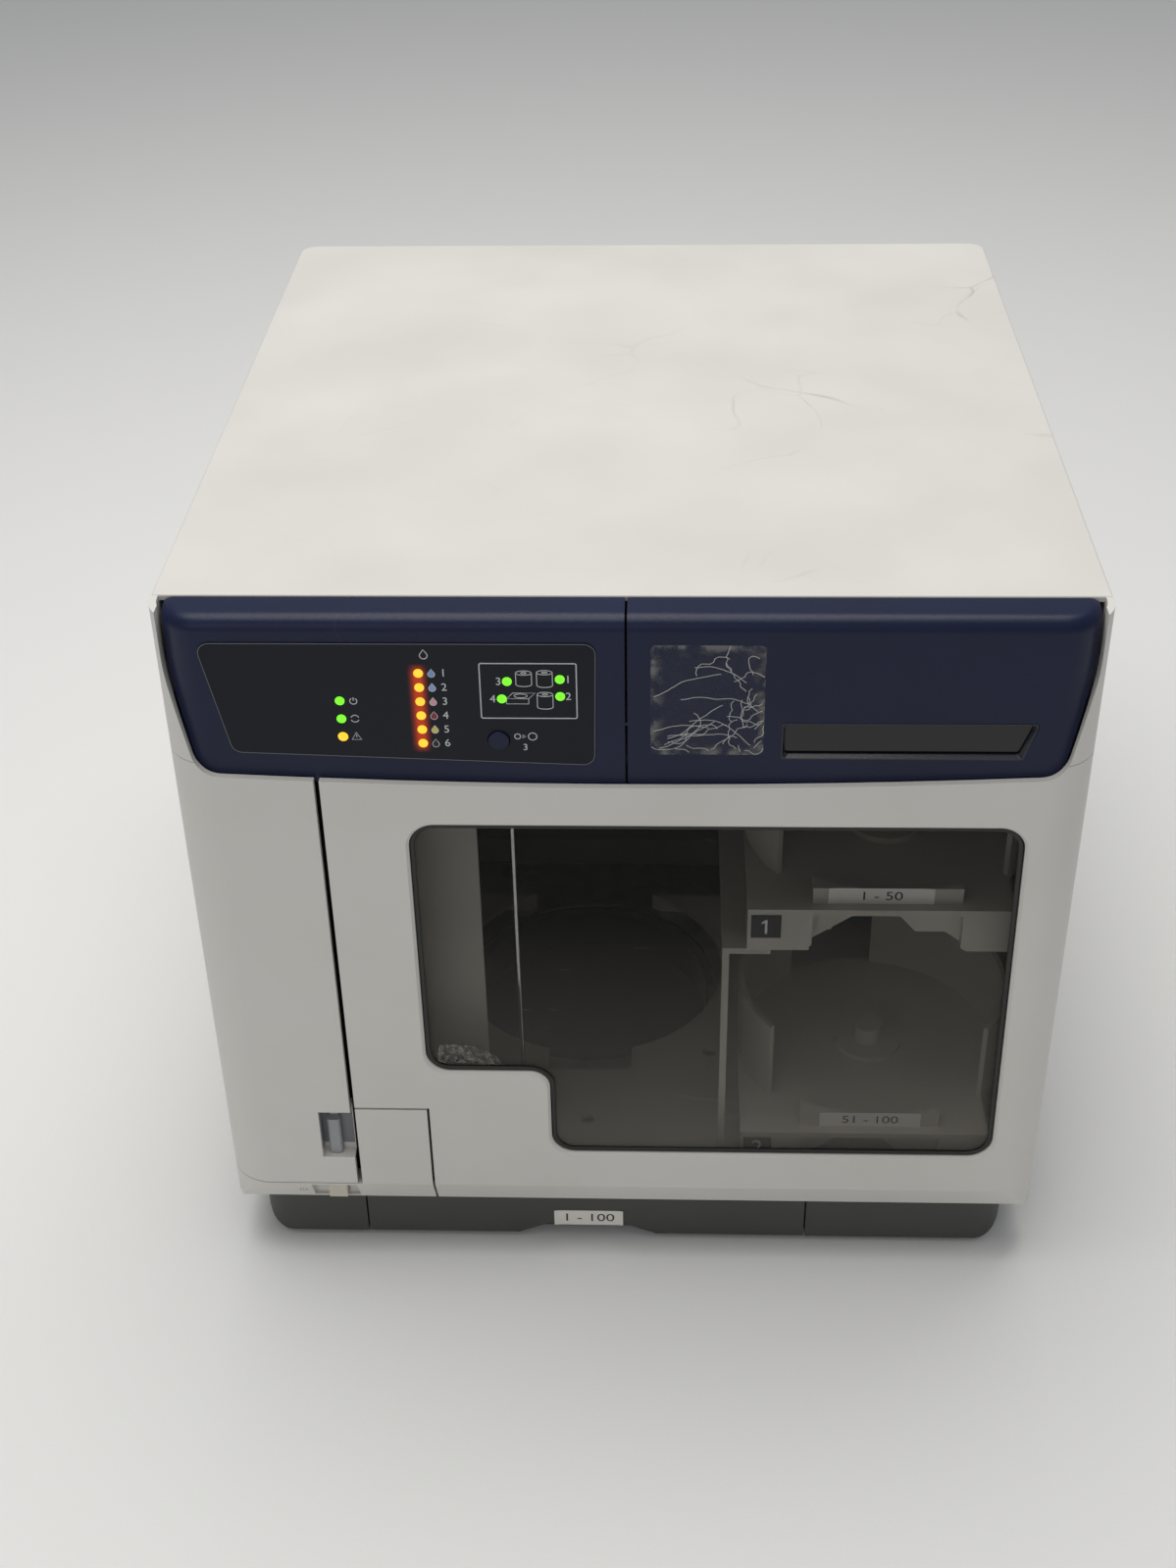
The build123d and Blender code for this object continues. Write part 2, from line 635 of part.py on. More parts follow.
def floor_plate():
    low = COVER_BOTTOM + PAN_THICKNESS
    x_span = (DIVIDER_X, FLOOR_RIGHT)
    y_span = (FLOOR_FRONT, FLOOR_BACK)
    plate = block(x_span, y_span, (FLOOR_Z - FLOOR_THICKNESS, FLOOR_Z))
    skirt = block(x_span, y_span, (low, FLOOR_Z))
    inner_x = (x_span[0] + WALL, x_span[1] - WALL)
    inner_y = (y_span[0] + WALL, y_span[1] - WALL)
    plate = plate + (skirt - block(inner_x, inner_y, (low - WALL, FLOOR_Z)))
    plate = plate - post(LEFT_DISC, FLOOR_HOLE_RADIUS, low - WALL, HEIGHT)
    finger_place = Pos((FINGER_X[0] + FINGER_X[1]) / 2, FINGER_FRONT + DISC_RADIUS / 2)
    finger = finger_place * RectangleRounded(FINGER_X[1] - FINGER_X[0], DISC_RADIUS, WALL)
    plate = plate - plan_prism(finger, low - WALL, HEIGHT)
    for place in FLOOR_SCREW_HOLES:
        plate = plate - post(place, SCREW_RADIUS, FLOOR_Z - FLOOR_THICKNESS, HEIGHT)
    post_x, post_y = column()
    way_x = (post_x - ARM_POST_X[0] - PART_GAP, belt_x() + MOTOR_SIZE / 2 + PART_GAP)
    way_y = (post_y + SHAFT_BEHIND - 2 * SHAFT_RADIUS - PART_GAP, 0)
    plate = plate - block(way_x, way_y, (low - WALL, HEIGHT))
    stile = block(POST_X, POST_Y, (FLOOR_Z - FLOOR_THICKNESS, shelf_bottom()))
    foot = block(POST_X, (POST_Y[0], FLOOR_FRONT + WALL), (FLOOR_Z - FLOOR_THICKNESS, FLOOR_Z))
    return plate + stile + foot


def divider_wall():
    low = COVER_BOTTOM + PAN_THICKNESS
    front = FRAME_Y[1]
    wall_x = (DIVIDER_X - DIVIDER_WALL, DIVIDER_X)
    strip_x = (DIVIDER_X, DIVIDER_X + DIVIDER_STRIP)
    wall = block(wall_x, (front, DRIVE_FRONT - WALL), (low, CHAMBER_TOP))
    strip = block(strip_x, (front, front + DIVIDER_WALL), (FLOOR_Z + PART_GAP, CHAMBER_TOP))
    return wall + strip


def front_frame():
    low = COVER_BOTTOM + PAN_THICKNESS
    x_span = (-FRAME_HALF_WIDTH, FRAME_HALF_WIDTH)
    frame = block(x_span, FRAME_Y, (low, HEIGHT - LID_THICKNESS))
    through = (FRAME_Y[0] - WALL, FRAME_Y[1] + WALL)
    frame = frame - block(CHAMBER_X, through, (FLOOR_Z - FLOOR_THICKNESS - PART_GAP, CHAMBER_TOP))
    frame = frame - block(INK_BAY_X, through, (INK_BAY_BOTTOM, CHAMBER_TOP))
    window_z = (CHAMBER_TOP + FRAME_BAR, BAND_RIB_Z[0] - WALL)
    return frame - block(FRAME_WINDOW_X, through, window_z)


# ---- doors ---------------------------------------------------------------------------------
def bracket_heights(side):
    return (BRACKET_LOW_Z if side > 0 else INK_BRACKET_LOW_Z, BRACKET_HIGH_Z)


def hinge_bracket(side, z):
    axis_x = side * HINGE_X
    leg_x = axis_x - side * BRACKET_REACH
    half = BRACKET_WIDTH / 2
    arm_y = (HINGE_Y - BRACKET_WIDTH + HINGE_PIN / 2, HINGE_Y + HINGE_PIN / 2)
    z_span = (z, z + BRACKET_THICKNESS)
    arm = block(span_of(axis_x, leg_x), arm_y, z_span)
    leg_span = (leg_x - half, leg_x + half)
    leg = block(leg_span, (arm_y[0], FRAME_Y[0]), z_span)
    tab = block(leg_span, (FRAME_Y[0] - PIN_RADIUS, FRAME_Y[0]), (z, z + 3 * BRACKET_THICKNESS))
    eye = post((axis_x, HINGE_Y), KNUCKLE_RADIUS, *z_span)
    bracket = arm + leg + eye
    if z == BRACKET_HIGH_Z:
        bracket = bracket + tab
    return bracket - post((axis_x, HINGE_Y), HINGE_PIN + PIN_FIT, 0, HEIGHT)


def hinge_brackets():
    return [hinge_bracket(side, z) for side in (-1, 1) for z in bracket_heights(side)]


def door_knuckles(side):
    axis = (side * HINGE_X, HINGE_Y)
    inner = INSIDE + WALL / 2
    span = (axis[0] - KNUCKLE_RADIUS, inner) if side > 0 else (-inner, axis[0] + KNUCKLE_RADIUS)
    bracket_low = bracket_heights(side)[0]
    low_base = bracket_low + BRACKET_THICKNESS + KNUCKLE_GAP
    high_base = BRACKET_HIGH_Z - KNUCKLE_GAP - KNUCKLE_THICKNESS
    solid = outer_solid()
    pieces = []
    for base in (low_base, high_base):
        plate = block(span, (FRONT, HINGE_Y), (base, base + KNUCKLE_THICKNESS)) & solid
        pieces.append(plate + post(axis, KNUCKLE_RADIUS, base, base + KNUCKLE_THICKNESS))
    pieces.append(post(axis, HINGE_PIN, bracket_low - KNUCKLE_GAP, low_base + KNUCKLE_THICKNESS / 2))
    high_end = BRACKET_HIGH_Z + BRACKET_THICKNESS + KNUCKLE_GAP
    pieces.append(post(axis, HINGE_PIN, high_base + KNUCKLE_THICKNESS / 2, high_end))
    return pieces


def chamfer_rear_edge(side):
    x = side * HALF_WIDTH
    points = [
        (x - side * DOOR_CHAMFER, DOOR_BACK),
        (x + side * DOOR_CHAMFER, DOOR_BACK),
        (x + side * DOOR_CHAMFER, DOOR_BACK - 2 * DOOR_CHAMFER),
    ]
    return plan_prism(polygon(points), 0, HEIGHT)


def window_outline(inset):
    left = WINDOW_LEFT + inset
    low = WINDOW_BOTTOM + inset
    step_x = WINDOW_STEP[0] + inset
    step_z = WINDOW_STEP[1] + inset
    top = WINDOW_TOP - inset
    points = [
        (left, top),
        (left, step_z),
        (step_x, step_z),
        (step_x, low),
        (WINDOW_RIGHT[1] - inset, low),
        (WINDOW_RIGHT[0] - inset, top),
    ]
    outer = WINDOW_RADIUS - inset
    inner = WINDOW_STEP_RADIUS + inset
    return rounded_polygon(points, [outer, outer, inner, outer, outer, outer])


def disc_door():
    left = DOOR_SEAM_X + DOOR_SEAM / 2
    main = block((left, ALL_X[1]), DOOR_DEPTH, (BLOCK_TOP + BLOCK_SEAM, EAR_SPLIT_Z))
    lower = block((BLOCK_X + BLOCK_SEAM, ALL_X[1]), DOOR_DEPTH, (COVER_BOTTOM, BLOCK_TOP + WALL))
    door = FRONT_SHELL & (main + lower)
    stiffener_z = (CREASE_Z + WALL, WINDOW_BOTTOM - PANE_LAP - WALL)
    opening = front_prism(window_outline(0), FRONT - WALL, FRONT + 2 * WALL)
    door = door - opening
    front_edges = door.faces().filter_by(Axis.Y).sort_by(Axis.Y)[0].inner_wires()[0].edges()
    door = chamfer(front_edges, WINDOW_EDGE_ROUND)
    door = door - chamfer_rear_edge(1)
    door = door + door_knuckles(1)
    for x in (left, BLOCK_X + BLOCK_SEAM):
        z_span = (BLOCK_TOP + BLOCK_SEAM, BAND_MIDDLE_Z) if x == left else stiffener_z
        flange = block((x, x + WALL), (FRONT + WALL / 2, FRONT + 3 * WALL), z_span)
        door = door + flange
    return door


def door_window():
    y_low = FRONT + WALL
    return front_prism(window_outline(-PANE_LAP), y_low, y_low + PANE_THICKNESS)


def ink_door():
    right = DOOR_SEAM_X - DOOR_SEAM / 2
    area = block((ALL_X[0], right), DOOR_DEPTH, (CREASE_Z + SEAM, EAR_SPLIT_Z))
    door = FRONT_SHELL & area
    well_x = (LATCH_WELL_X, right + WALL)
    door = door - block(well_x, (FRONT - WALL, FRONT + 2 * WALL), LATCH_WELL_Z)
    floor_y = FRONT + LATCH_WELL_DEPTH
    outer_x = (LATCH_WELL_X - WELL_WALL, right)
    outer_z = (LATCH_WELL_Z[0] - WELL_WALL, LATCH_WELL_Z[1] + WELL_WALL)
    well = block(outer_x, (FRONT + WALL / 2, floor_y + WELL_WALL), outer_z)
    well = well - block(well_x, (FRONT - WALL, floor_y), LATCH_WELL_Z)
    slot_x = (LATCH_X[0] + LATCH_STEM_INSET - BUTTON_GAP, LATCH_X[1] - LATCH_STEM_INSET + BUTTON_GAP)
    slot_z = (LATCH_STEM_Z[0] - BUTTON_GAP, LATCH_STEM_Z[1] + LATCH_TRAVEL + BUTTON_GAP)
    slot = block(slot_x, (floor_y - WALL, floor_y + WALL), slot_z)
    door = door + well - slot
    door = door - chamfer_rear_edge(-1)
    return door + door_knuckles(-1)


def latch_lever():
    floor_y = FRONT + LATCH_WELL_DEPTH
    pad_y = (floor_y - PART_GAP - LATCH_PAD, floor_y - PART_GAP)
    low = LATCH_WELL_Z[0] + PART_GAP
    pad = block(LATCH_X, pad_y, (low, LATCH_Z[1]))
    pad = fillet(pad.edges().filter_by(Axis.Z).group_by(Axis.Y)[0], LATCH_STEM_INSET)
    stem_x = (LATCH_X[0] + LATCH_STEM_INSET, LATCH_X[1] - LATCH_STEM_INSET)
    stem_end = floor_y + LATCH_STEM_LENGTH
    stem = block(stem_x, (pad_y[1] - WELL_WALL, stem_end), LATCH_STEM_Z)
    hook_z = (LATCH_STEM_Z[0] - LATCH_STEM_LENGTH, LATCH_STEM_Z[0] + WELL_WALL)
    hook = block(stem_x, (stem_end - WALL, stem_end), hook_z)
    return pad + stem + hook


# ---- lower front panel and power button --------------------------------------------------
def lower_front_panel():
    strip = block((ALL_X[0], BLOCK_X), DOOR_DEPTH, (COVER_BOTTOM, CREASE_Z))
    block_left = DOOR_SEAM_X + DOOR_SEAM / 2
    upright = block((block_left, BLOCK_X), DOOR_DEPTH, (CREASE_Z - WALL, BLOCK_TOP))
    panel = FRONT_SHELL & (strip + upright)
    well_out_x = (POWER_WELL_X[0] - WELL_WALL, POWER_WELL_X[1] + WELL_WALL)
    well_out_z = (COVER_BOTTOM, POWER_WELL_Z[1] + WELL_WALL)
    floor_y = FRONT + POWER_WELL_FLOOR
    well = block(well_out_x, (FRONT + WALL, floor_y + WELL_WALL), well_out_z) & outer_solid()
    panel = panel + well - block(POWER_WELL_X, (FRONT - WALL, floor_y), POWER_WELL_Z)
    hole_x = (POWER_X[0] - BUTTON_GAP, POWER_X[1] + BUTTON_GAP)
    hole_z = (POWER_Z[0] - BUTTON_GAP, POWER_Z[1] + BUTTON_GAP)
    panel = panel - block(hole_x, (FRONT, floor_y + WALL), hole_z)
    foot_z = (COVER_BOTTOM + WALL, CREASE_Z - WALL)
    for x in PANEL_FOOT_X:
        foot = block((x, x + PANEL_FOOT), (FRONT + 2 * WALL, FRAME_Y[0]), foot_z)
        panel = panel + (foot & inner_solid())
    return (panel - chamfer_rear_edge(-1)).solids().sort_by(SortBy.VOLUME)[-1]


def power_button():
    floor_y = FRONT + POWER_WELL_FLOOR
    cap = block(POWER_X, (floor_y - POWER_STAND, floor_y + POWER_STAND), POWER_Z)
    cap = fillet(cap.edges().filter_by(Axis.X).group_by(Axis.Y)[0], SEAM)
    flange_x = (POWER_X[0] - 3 * BUTTON_GAP, POWER_X[1] + 3 * BUTTON_GAP)
    flange_y = floor_y + WELL_WALL + BUTTON_GAP
    flange = block(flange_x, (flange_y, flange_y + WELL_WALL), POWER_Z)
    return cap + flange


# ---- blue band and control panel ----------------------------------------------------------
def band_solid(inset, top):
    low = BAND_MIDDLE_Z - 2 * BAND_TUCK
    front = block(ALL_X, (FRONT, COVER_FRONT - SEAM), (low, HEIGHT))
    solid = plan_prism(body_plan(BAND_SETBACK + inset), low, top) & front
    top_edges = solid.edges().group_by(Axis.Z)[-1]
    crest = top_edges.filter_by(lambda edge: edge.center().Y < COVER_FRONT - 2 * SEAM)
    return fillet(crest, BAND_TOP_ROUND - inset)


def band_half(x_span):
    top = HEIGHT - BAND_TOP_GAP
    outer = band_solid(0, top)
    inner = band_solid(BAND_WALL, top - BAND_WALL)
    outline = front_prism(band_outline(BAND_TUCK, BAND_END_GAP), FRONT, DOOR_BACK + WALL)
    shell = (outer - inner) & outline & block(x_span, (FRONT, PAN_FRONT), (0, HEIGHT))
    for x in BAND_RIB_X:
        if x_span[0] < x < x_span[1]:
            back = FRONT + BAND_SETBACK + BAND_WALL
            shell = shell + block((x, x + BAND_RIB), (back - WALL / 2, FRAME_Y[0]), BAND_RIB_Z)
    return shell


def control_panel():
    panel = band_half((ALL_X[0], BAND_SEAM_X - BAND_SEAM / 2))
    return panel - rod_y(KEY_AT[0], KEY_AT[1], KEY_RADIUS + BUTTON_GAP, FRONT, DOOR_BACK)


def slot_outline(inset):
    points = [
        (SLOT_TOP[0] + inset, SLOT_TOP[2] - inset),
        (SLOT_TOP[1] - inset, SLOT_TOP[2] - inset),
        (SLOT_BOTTOM[1] - inset, SLOT_BOTTOM[2] + inset),
        (SLOT_BOTTOM[0] + inset, SLOT_BOTTOM[2] + inset),
    ]
    return rounded_polygon(points, [SLOT_ROUND] * 4)


def right_blue_cover():
    cover = band_half((BAND_SEAM_X + BAND_SEAM / 2, ALL_X[1]))
    return cover - front_prism(slot_outline(0), FRONT, FRONT + 3 * WALL)


def slot_window():
    low = FRONT + BAND_SETBACK + BAND_WALL
    return front_prism(slot_outline(-SLOT_PANE_LAP), low, low + SLOT_PANE)


def panel_overlay():
    points = [
        (OVERLAY_TOP[0], OVERLAY_TOP[2]),
        (OVERLAY_TOP[1], OVERLAY_TOP[2]),
        (OVERLAY_BOTTOM[2], OVERLAY_BOTTOM[3]),
        (OVERLAY_BOTTOM[0], OVERLAY_BOTTOM[1]),
    ]
    outline = rounded_polygon(points, [OVERLAY_ROUND] * 4)
    outline = outline - Pos(*KEY_AT) * Circle(KEY_RADIUS + BUTTON_GAP)
    face_y = FRONT + BAND_SETBACK
    return front_prism(outline, face_y - OVERLAY_THICKNESS, face_y)


def lamps(places):
    face_y = FRONT + BAND_SETBACK - OVERLAY_THICKNESS
    return [rod_y(x, z, LAMP_RADIUS, face_y - LAMP_HEIGHT, face_y) for x, z in places]


def ink_lamp_places():
    pitch = (INK_LAMP_TOP - INK_LAMP_BOTTOM) / (INK_COLOURS - 1)
    return [(INK_LAMP_X, INK_LAMP_TOP - pitch * index) for index in range(INK_COLOURS)]


def ink_key():
    front = FRONT + BAND_SETBACK - KEY_PROUD
    key = rod_y(KEY_AT[0], KEY_AT[1], KEY_RADIUS, front, front + KEY_LENGTH)
    return fillet(key.edges().group_by(Axis.Y)[0], SEAM)


def panel_board():
    back = FRONT + BAND_SETBACK + BAND_WALL
    board_y = back + BOARD_STANDOFF
    board = block(BOARD_X, (board_y, board_y + BOARD_THICKNESS), BOARD_Z)
    for x in BAND_RIB_X:
        notch_x = (x - PART_GAP, x + BAND_RIB + PART_GAP)
        notch_z = (BAND_RIB_Z[0] - PART_GAP, BAND_RIB_Z[1])
        board = board - block(notch_x, (board_y - WALL, board_y + WALL), notch_z)
    for x in BOARD_X:
        spacer_x = x + (WALL if x == BOARD_X[0] else -WALL)
        board = board + rod_y(spacer_x, BOARD_Z[0] + WALL, BAND_RIB, back, board_y)
        board = board + rod_y(spacer_x, BOARD_Z[1] - WALL, BAND_RIB, back, board_y)
    return board


# ---- stackers --------------------------------------------------------------------------------
def shelf_bottom():
    return STACKER_FLOORS[0] - SKIRT_DROP - SKIRT_CLEARANCE - SHELF_THICKNESS


def stacker_seat(floor_top):
    on_shelf = floor_top == STACKER_FLOORS[0]
    return shelf_bottom() + SHELF_THICKNESS if on_shelf else FLOOR_Z


def wedge(centre, radius, start, end, z_low, z_high):
    points = [centre]
    for index in range(WEDGE_SIDES + 1):
        angle = radians(start + (end - start) * index / WEDGE_SIDES)
        points.append((centre[0] + radius * cos(angle), centre[1] + radius * sin(angle)))
    return plan_prism(polygon(points), z_low, z_high)


def arm_angle():
    return degrees(atan2(column()[1] - RIGHT_DISC[1], column()[0] - RIGHT_DISC[0]))


def column():
    chord = (RIGHT_DISC[0] - LEFT_DISC[0], RIGHT_DISC[1] - LEFT_DISC[1])
    length = sqrt(chord[0] ** 2 + chord[1] ** 2)
    rise = sqrt(ARM_REACH**2 - (length / 2) ** 2)
    middle = ((RIGHT_DISC[0] + LEFT_DISC[0]) / 2, (RIGHT_DISC[1] + LEFT_DISC[1]) / 2)
    return (middle[0] - rise * chord[1] / length, middle[1] + rise * chord[0] / length)


def stacker(floor_top):
    inner = DISC_RADIUS + DISC_FIT
    outer = inner + STACKER_WALL
    floor_low = floor_top - STACKER_FLOOR
    reach = 2 * outer
    top = floor_top + STACKER_RISE
    tube = post(RIGHT_DISC, outer, floor_low, top) - post(RIGHT_DISC, inner, floor_low - WALL, top + WALL)
    front_way = (270 - FRONT_OPEN_HALF, 270 + FRONT_OPEN_HALF)
    front = wedge(RIGHT_DISC, reach, *front_way, floor_low - WALL, top + WALL)
    arm_span = (arm_angle() - ARM_SLOT_HALF, arm_angle() + ARM_SLOT_HALF)
    arm_way = wedge(RIGHT_DISC, reach, *arm_span, floor_top, top + WALL)
    base = post(RIGHT_DISC, inner + WALL / 2, floor_low, floor_top)
    skirt_y = (SKIRT_FRONT, SKIRT_FRONT + SKIRT_DEPTH)
    low = floor_top - SKIRT_DROP
    base = base + block(SKIRT_X, (SKIRT_FRONT, RIGHT_DISC[1]), (floor_low, floor_top))
    step = SKIRT_BLOCK_TOP
    left_block = block((SKIRT_X[0], SKIRT_MIDDLE_X[0]), skirt_y, (low, floor_top - step))
    right_block = block((SKIRT_MIDDLE_X[1], SKIRT_X[1]), skirt_y, (low, floor_top - step))
    middle_y = (SKIRT_FRONT + SKIRT_MIDDLE_BACK, SKIRT_FRONT + SKIRT_DEPTH)
    middle = block(SKIRT_MIDDLE_X, middle_y, (low, floor_top + SKIRT_RISE))
    arch_points = [(ARCH_X[0], low - WALL)]
    for x, rise in zip(ARCH_X, ARCH_RISE):
        arch_points.append((x, low + rise))
    arch_points.append((ARCH_X[-1], low - WALL))
    arch = front_prism(polygon(arch_points), SKIRT_FRONT - WALL, skirt_y[1] + WALL)
    hollow_y = (middle_y[0] + SKIRT_WALL, skirt_y[1] + WALL)
    hollow_x = (SKIRT_X[0] + SKIRT_WALL, SKIRT_X[1] - SKIRT_WALL)
    hollow = block(hollow_x, hollow_y, (low - WALL, floor_low))
    body = tube - front - arm_way + base + left_block + right_block + middle - arch - hollow
    well = post(RIGHT_DISC, inner, floor_top, top + WALL)
    hub = post(RIGHT_DISC, STACKER_HUB_RADIUS, floor_top, floor_top + STACKER_HUB_HEIGHT)
    peg = post(RIGHT_DISC, STACKER_PEG_RADIUS, floor_top, floor_top + STACKER_PEG_HEIGHT)
    seat = stacker_seat(floor_top)
    ring = post(RIGHT_DISC, inner - WALL, seat, floor_low)
    ring = ring - post(RIGHT_DISC, inner - 2 * WALL, seat, floor_low)
    ring = ring - block(ALL_X, (SKIRT_FRONT, skirt_y[1]), (0, HEIGHT))
    return (body - well + hub + peg + ring).solids().sort_by(SortBy.VOLUME)[-1]


def stacker_labels():
    plates = []
    for floor_top in STACKER_FLOORS:
        z_span = (floor_top + LABEL_Z[0], floor_top + LABEL_Z[1])
        plates.append(block(LABEL_X, (SKIRT_FRONT - LABEL_THICKNESS, SKIRT_FRONT), z_span))
    return plates


def stacker_shelf():
    low = shelf_bottom()
    high = low + SHELF_THICKNESS
    right = INSIDE - SEAM
    plate = block((POST_X[0], right), (POST_Y[0], SHELF_BACK), (low, high))
    left_rail = POST_X[1] + SHELF_RAIL + WALL
    right_rail = right - SHELF_RAIL - SHELF_WALL
    way_y = (POST_Y[0] - WALL, SHELF_BACK - SHELF_RAIL)
    plate = plate - block((left_rail, right_rail), way_y, (low - WALL, HEIGHT))
    wall_front = FRAME_Y[1] + SEAM
    wall_z = (COVER_BOTTOM + PAN_THICKNESS, high)
    wall = block((right - SHELF_WALL, right), (wall_front, SHELF_BACK), wall_z)
    notch_x = (CHAMBER_X[1] - PART_GAP, right + WALL)
    notch = block(notch_x, (POST_Y[0] - WALL, wall_front), (0, HEIGHT))
    door_sweep = sqrt(HINGE_INSET**2 + HINGE_FORWARD**2) + PART_GAP
    return plate + wall - notch - post((HINGE_X, HINGE_Y), door_sweep, 0, HEIGHT)


# ---- arm ------------------------------------------------------------------------------------------
def shaft_places():
    x, y = column()
    return [(x - SHAFT_SPREAD, y + SHAFT_BEHIND), (x + SHAFT_SPREAD, y + SHAFT_BEHIND)]


def shaft_feet_z():
    return COVER_BOTTOM + PAN_THICKNESS + ARM_POST_WALL


def arm_post():
    x, y = column()
    low = COVER_BOTTOM + PAN_THICKNESS
    x_span = (x - ARM_POST_X[0], x + ARM_POST_X[1])
    back_y = (y + ARM_POST_BEHIND, y + ARM_POST_BEHIND + ARM_POST_WALL)
    plate = block(x_span, back_y, (low, ARM_POST_TOP))
    foot_y = (y + SHAFT_BEHIND - 2 * SHAFT_RADIUS, back_y[1])
    foot = block(x_span, foot_y, (low, low + ARM_POST_WALL))
    cap = block(x_span, foot_y, (ARM_POST_TOP - ARM_POST_WALL, ARM_POST_TOP))
    side = block((x_span[1] - ARM_POST_WALL, x_span[1]), foot_y, (low, ARM_POST_TOP))
    return plate + foot + cap + side


def guide_shafts():
    shaft_top = ARM_POST_TOP - ARM_POST_WALL
    return [post(place, SHAFT_RADIUS, shaft_feet_z(), shaft_top) for place in shaft_places()]


def belt_x():
    return column()[0] + CARRIAGE_HALF_WIDTH + PULLEY_RADIUS + WALL


def lift_carriage():
    x, y = column()
    low = ARM_REST_Z
    high = low + CARRIAGE_HEIGHT
    middle_y = y + SHAFT_BEHIND
    body_x = (x - CARRIAGE_HALF_WIDTH, x + CARRIAGE_HALF_WIDTH)
    body_y = (middle_y - CARRIAGE_DEPTH / 2, middle_y + CARRIAGE_DEPTH / 2)
    body = block(body_x, body_y, (low, high))
    for lug_z in (low, high - LUG_THICKNESS):
        lug = block((x - LUG_HALF_WIDTH, x + LUG_HALF_WIDTH), (y, middle_y), (lug_z, lug_z + LUG_THICKNESS))
        eye = post((x, y), LUG_HALF_WIDTH, lug_z, lug_z + LUG_THICKNESS)
        body = body + lug + eye
    body = body + post((x, y), SHAFT_RADIUS, low, high)
    for place in shaft_places():
        body = body - post(place, SHAFT_RADIUS + RUNNING_FIT, low - WALL, high + WALL)
    clip_x = (x + CARRIAGE_HALF_WIDTH - WALL, belt_x() - PULLEY_RADIUS - BELT_THICKNESS - PART_GAP)
    clip = block(clip_x, lift_belt_y(), (low + CARRIAGE_DEPTH, high - LUG_THICKNESS))
    return body + clip


def swing_arm():
    x, y = column()
    low = ARM_REST_Z + LUG_THICKNESS + PART_GAP
    high = ARM_REST_Z + CARRIAGE_HEIGHT - LUG_THICKNESS - PART_GAP
    hub = post((x, y), HUB_RADIUS, low, high)
    bar_z = (low + ARM_BAR_LIFT, low + ARM_BAR_LIFT + ARM_BAR_HEIGHT)
    angle = degrees(atan2(LEFT_DISC[1] - y, LEFT_DISC[0] - x))
    bar = Box(ARM_REACH, ARM_BAR_WIDTH, ARM_BAR_HEIGHT, align=(Align.MIN, Align.CENTER, Align.MIN))
    bar = Pos(x, y, bar_z[0]) * Rot(0, 0, angle) * bar
    head_low = ARM_REST_Z - HEAD_DROP
    head = post(LEFT_DISC, HEAD_RADIUS, head_low, bar_z[1])
    arm = hub + bar + head
    arm = arm - post((x, y), SHAFT_RADIUS + RUNNING_FIT, 0, HEIGHT)
    pocket_radius = JAW_RADIUS + JAW_TRAVEL + PART_GAP
    pocket = post(LEFT_DISC, pocket_radius, head_low - WALL, head_low + JAW_STEM + PART_GAP)
    return arm - pocket


def gripper_jaw(side):
    x, y = LEFT_DISC
    top = ARM_REST_Z - HEAD_DROP + JAW_STEM
    jaw = post(LEFT_DISC, JAW_RADIUS, top - JAW_STEM - JAW_LENGTH, top)
    near = x + side * JAW_SPLIT / 2
    far = x + side * 2 * JAW_RADIUS
    keep = block(span_of(near, far), (y - JAW_RADIUS, y + JAW_RADIUS), (0, HEIGHT))
    return jaw & keep


def lift_pulley_heights():
    low = shaft_feet_z() + MOTOR_SIZE / 2 + WALL
    high = ARM_POST_TOP - ARM_POST_WALL - PULLEY_RADIUS - 2 * WALL
    return (low, high)


def head_belt_x():
    return (HEAD_X[0] + PULLEY_RADIUS, PRINTER_X[1] - PRINTER_WALL - 2 * PULLEY_RADIUS)


def head_belt_z():
    return HEAD_Z[1] + PULLEY_RADIUS / 2


def pulley(x, z, y_low, y_high):
    return rod_y(x, z, PULLEY_RADIUS, y_low, y_high)


def belt_loop(ends, y_low, y_high):
    def loop(radius):
        first = Pos(*ends[0]) * Circle(radius)
        second = Pos(*ends[1]) * Circle(radius)
        return make_hull((first + second).edges())

    inside = loop(PULLEY_RADIUS + PIN_FIT)
    outside = loop(PULLEY_RADIUS + PIN_FIT + BELT_THICKNESS)
    return front_prism(outside - inside, y_low, y_high)


def lift_ends():
    low, high = lift_pulley_heights()
    return ((belt_x(), low), (belt_x(), high))


def head_ends():
    left, right = head_belt_x()
    return ((left, head_belt_z()), (right, head_belt_z()))


def lift_belt_y():
    middle = column()[1] + SHAFT_BEHIND
    return (middle - BELT_WIDTH / 2, middle + BELT_WIDTH / 2)


def head_belt_y():
    return (HEAD_Y[1] + WALL, HEAD_Y[1] + WALL + BELT_WIDTH)


def drive_belts():
    return [belt_loop(lift_ends(), *lift_belt_y()), belt_loop(head_ends(), *head_belt_y())]


def belt_pulleys():
    post_face = column()[1] + ARM_POST_BEHIND
    pieces = []
    for x, z in lift_ends():
        wheel = pulley(x, z, *lift_belt_y())
        pieces.append(wheel + rod_y(x, z, PIN_RADIUS, lift_belt_y()[1], post_face))
    wall_y = head_belt_y()[1] + 2 * WALL
    for x, z in head_ends():
        wheel = pulley(x, z, *head_belt_y())
        pieces.append(wheel + rod_y(x, z, PIN_RADIUS, head_belt_y()[1], wall_y))
    return pieces


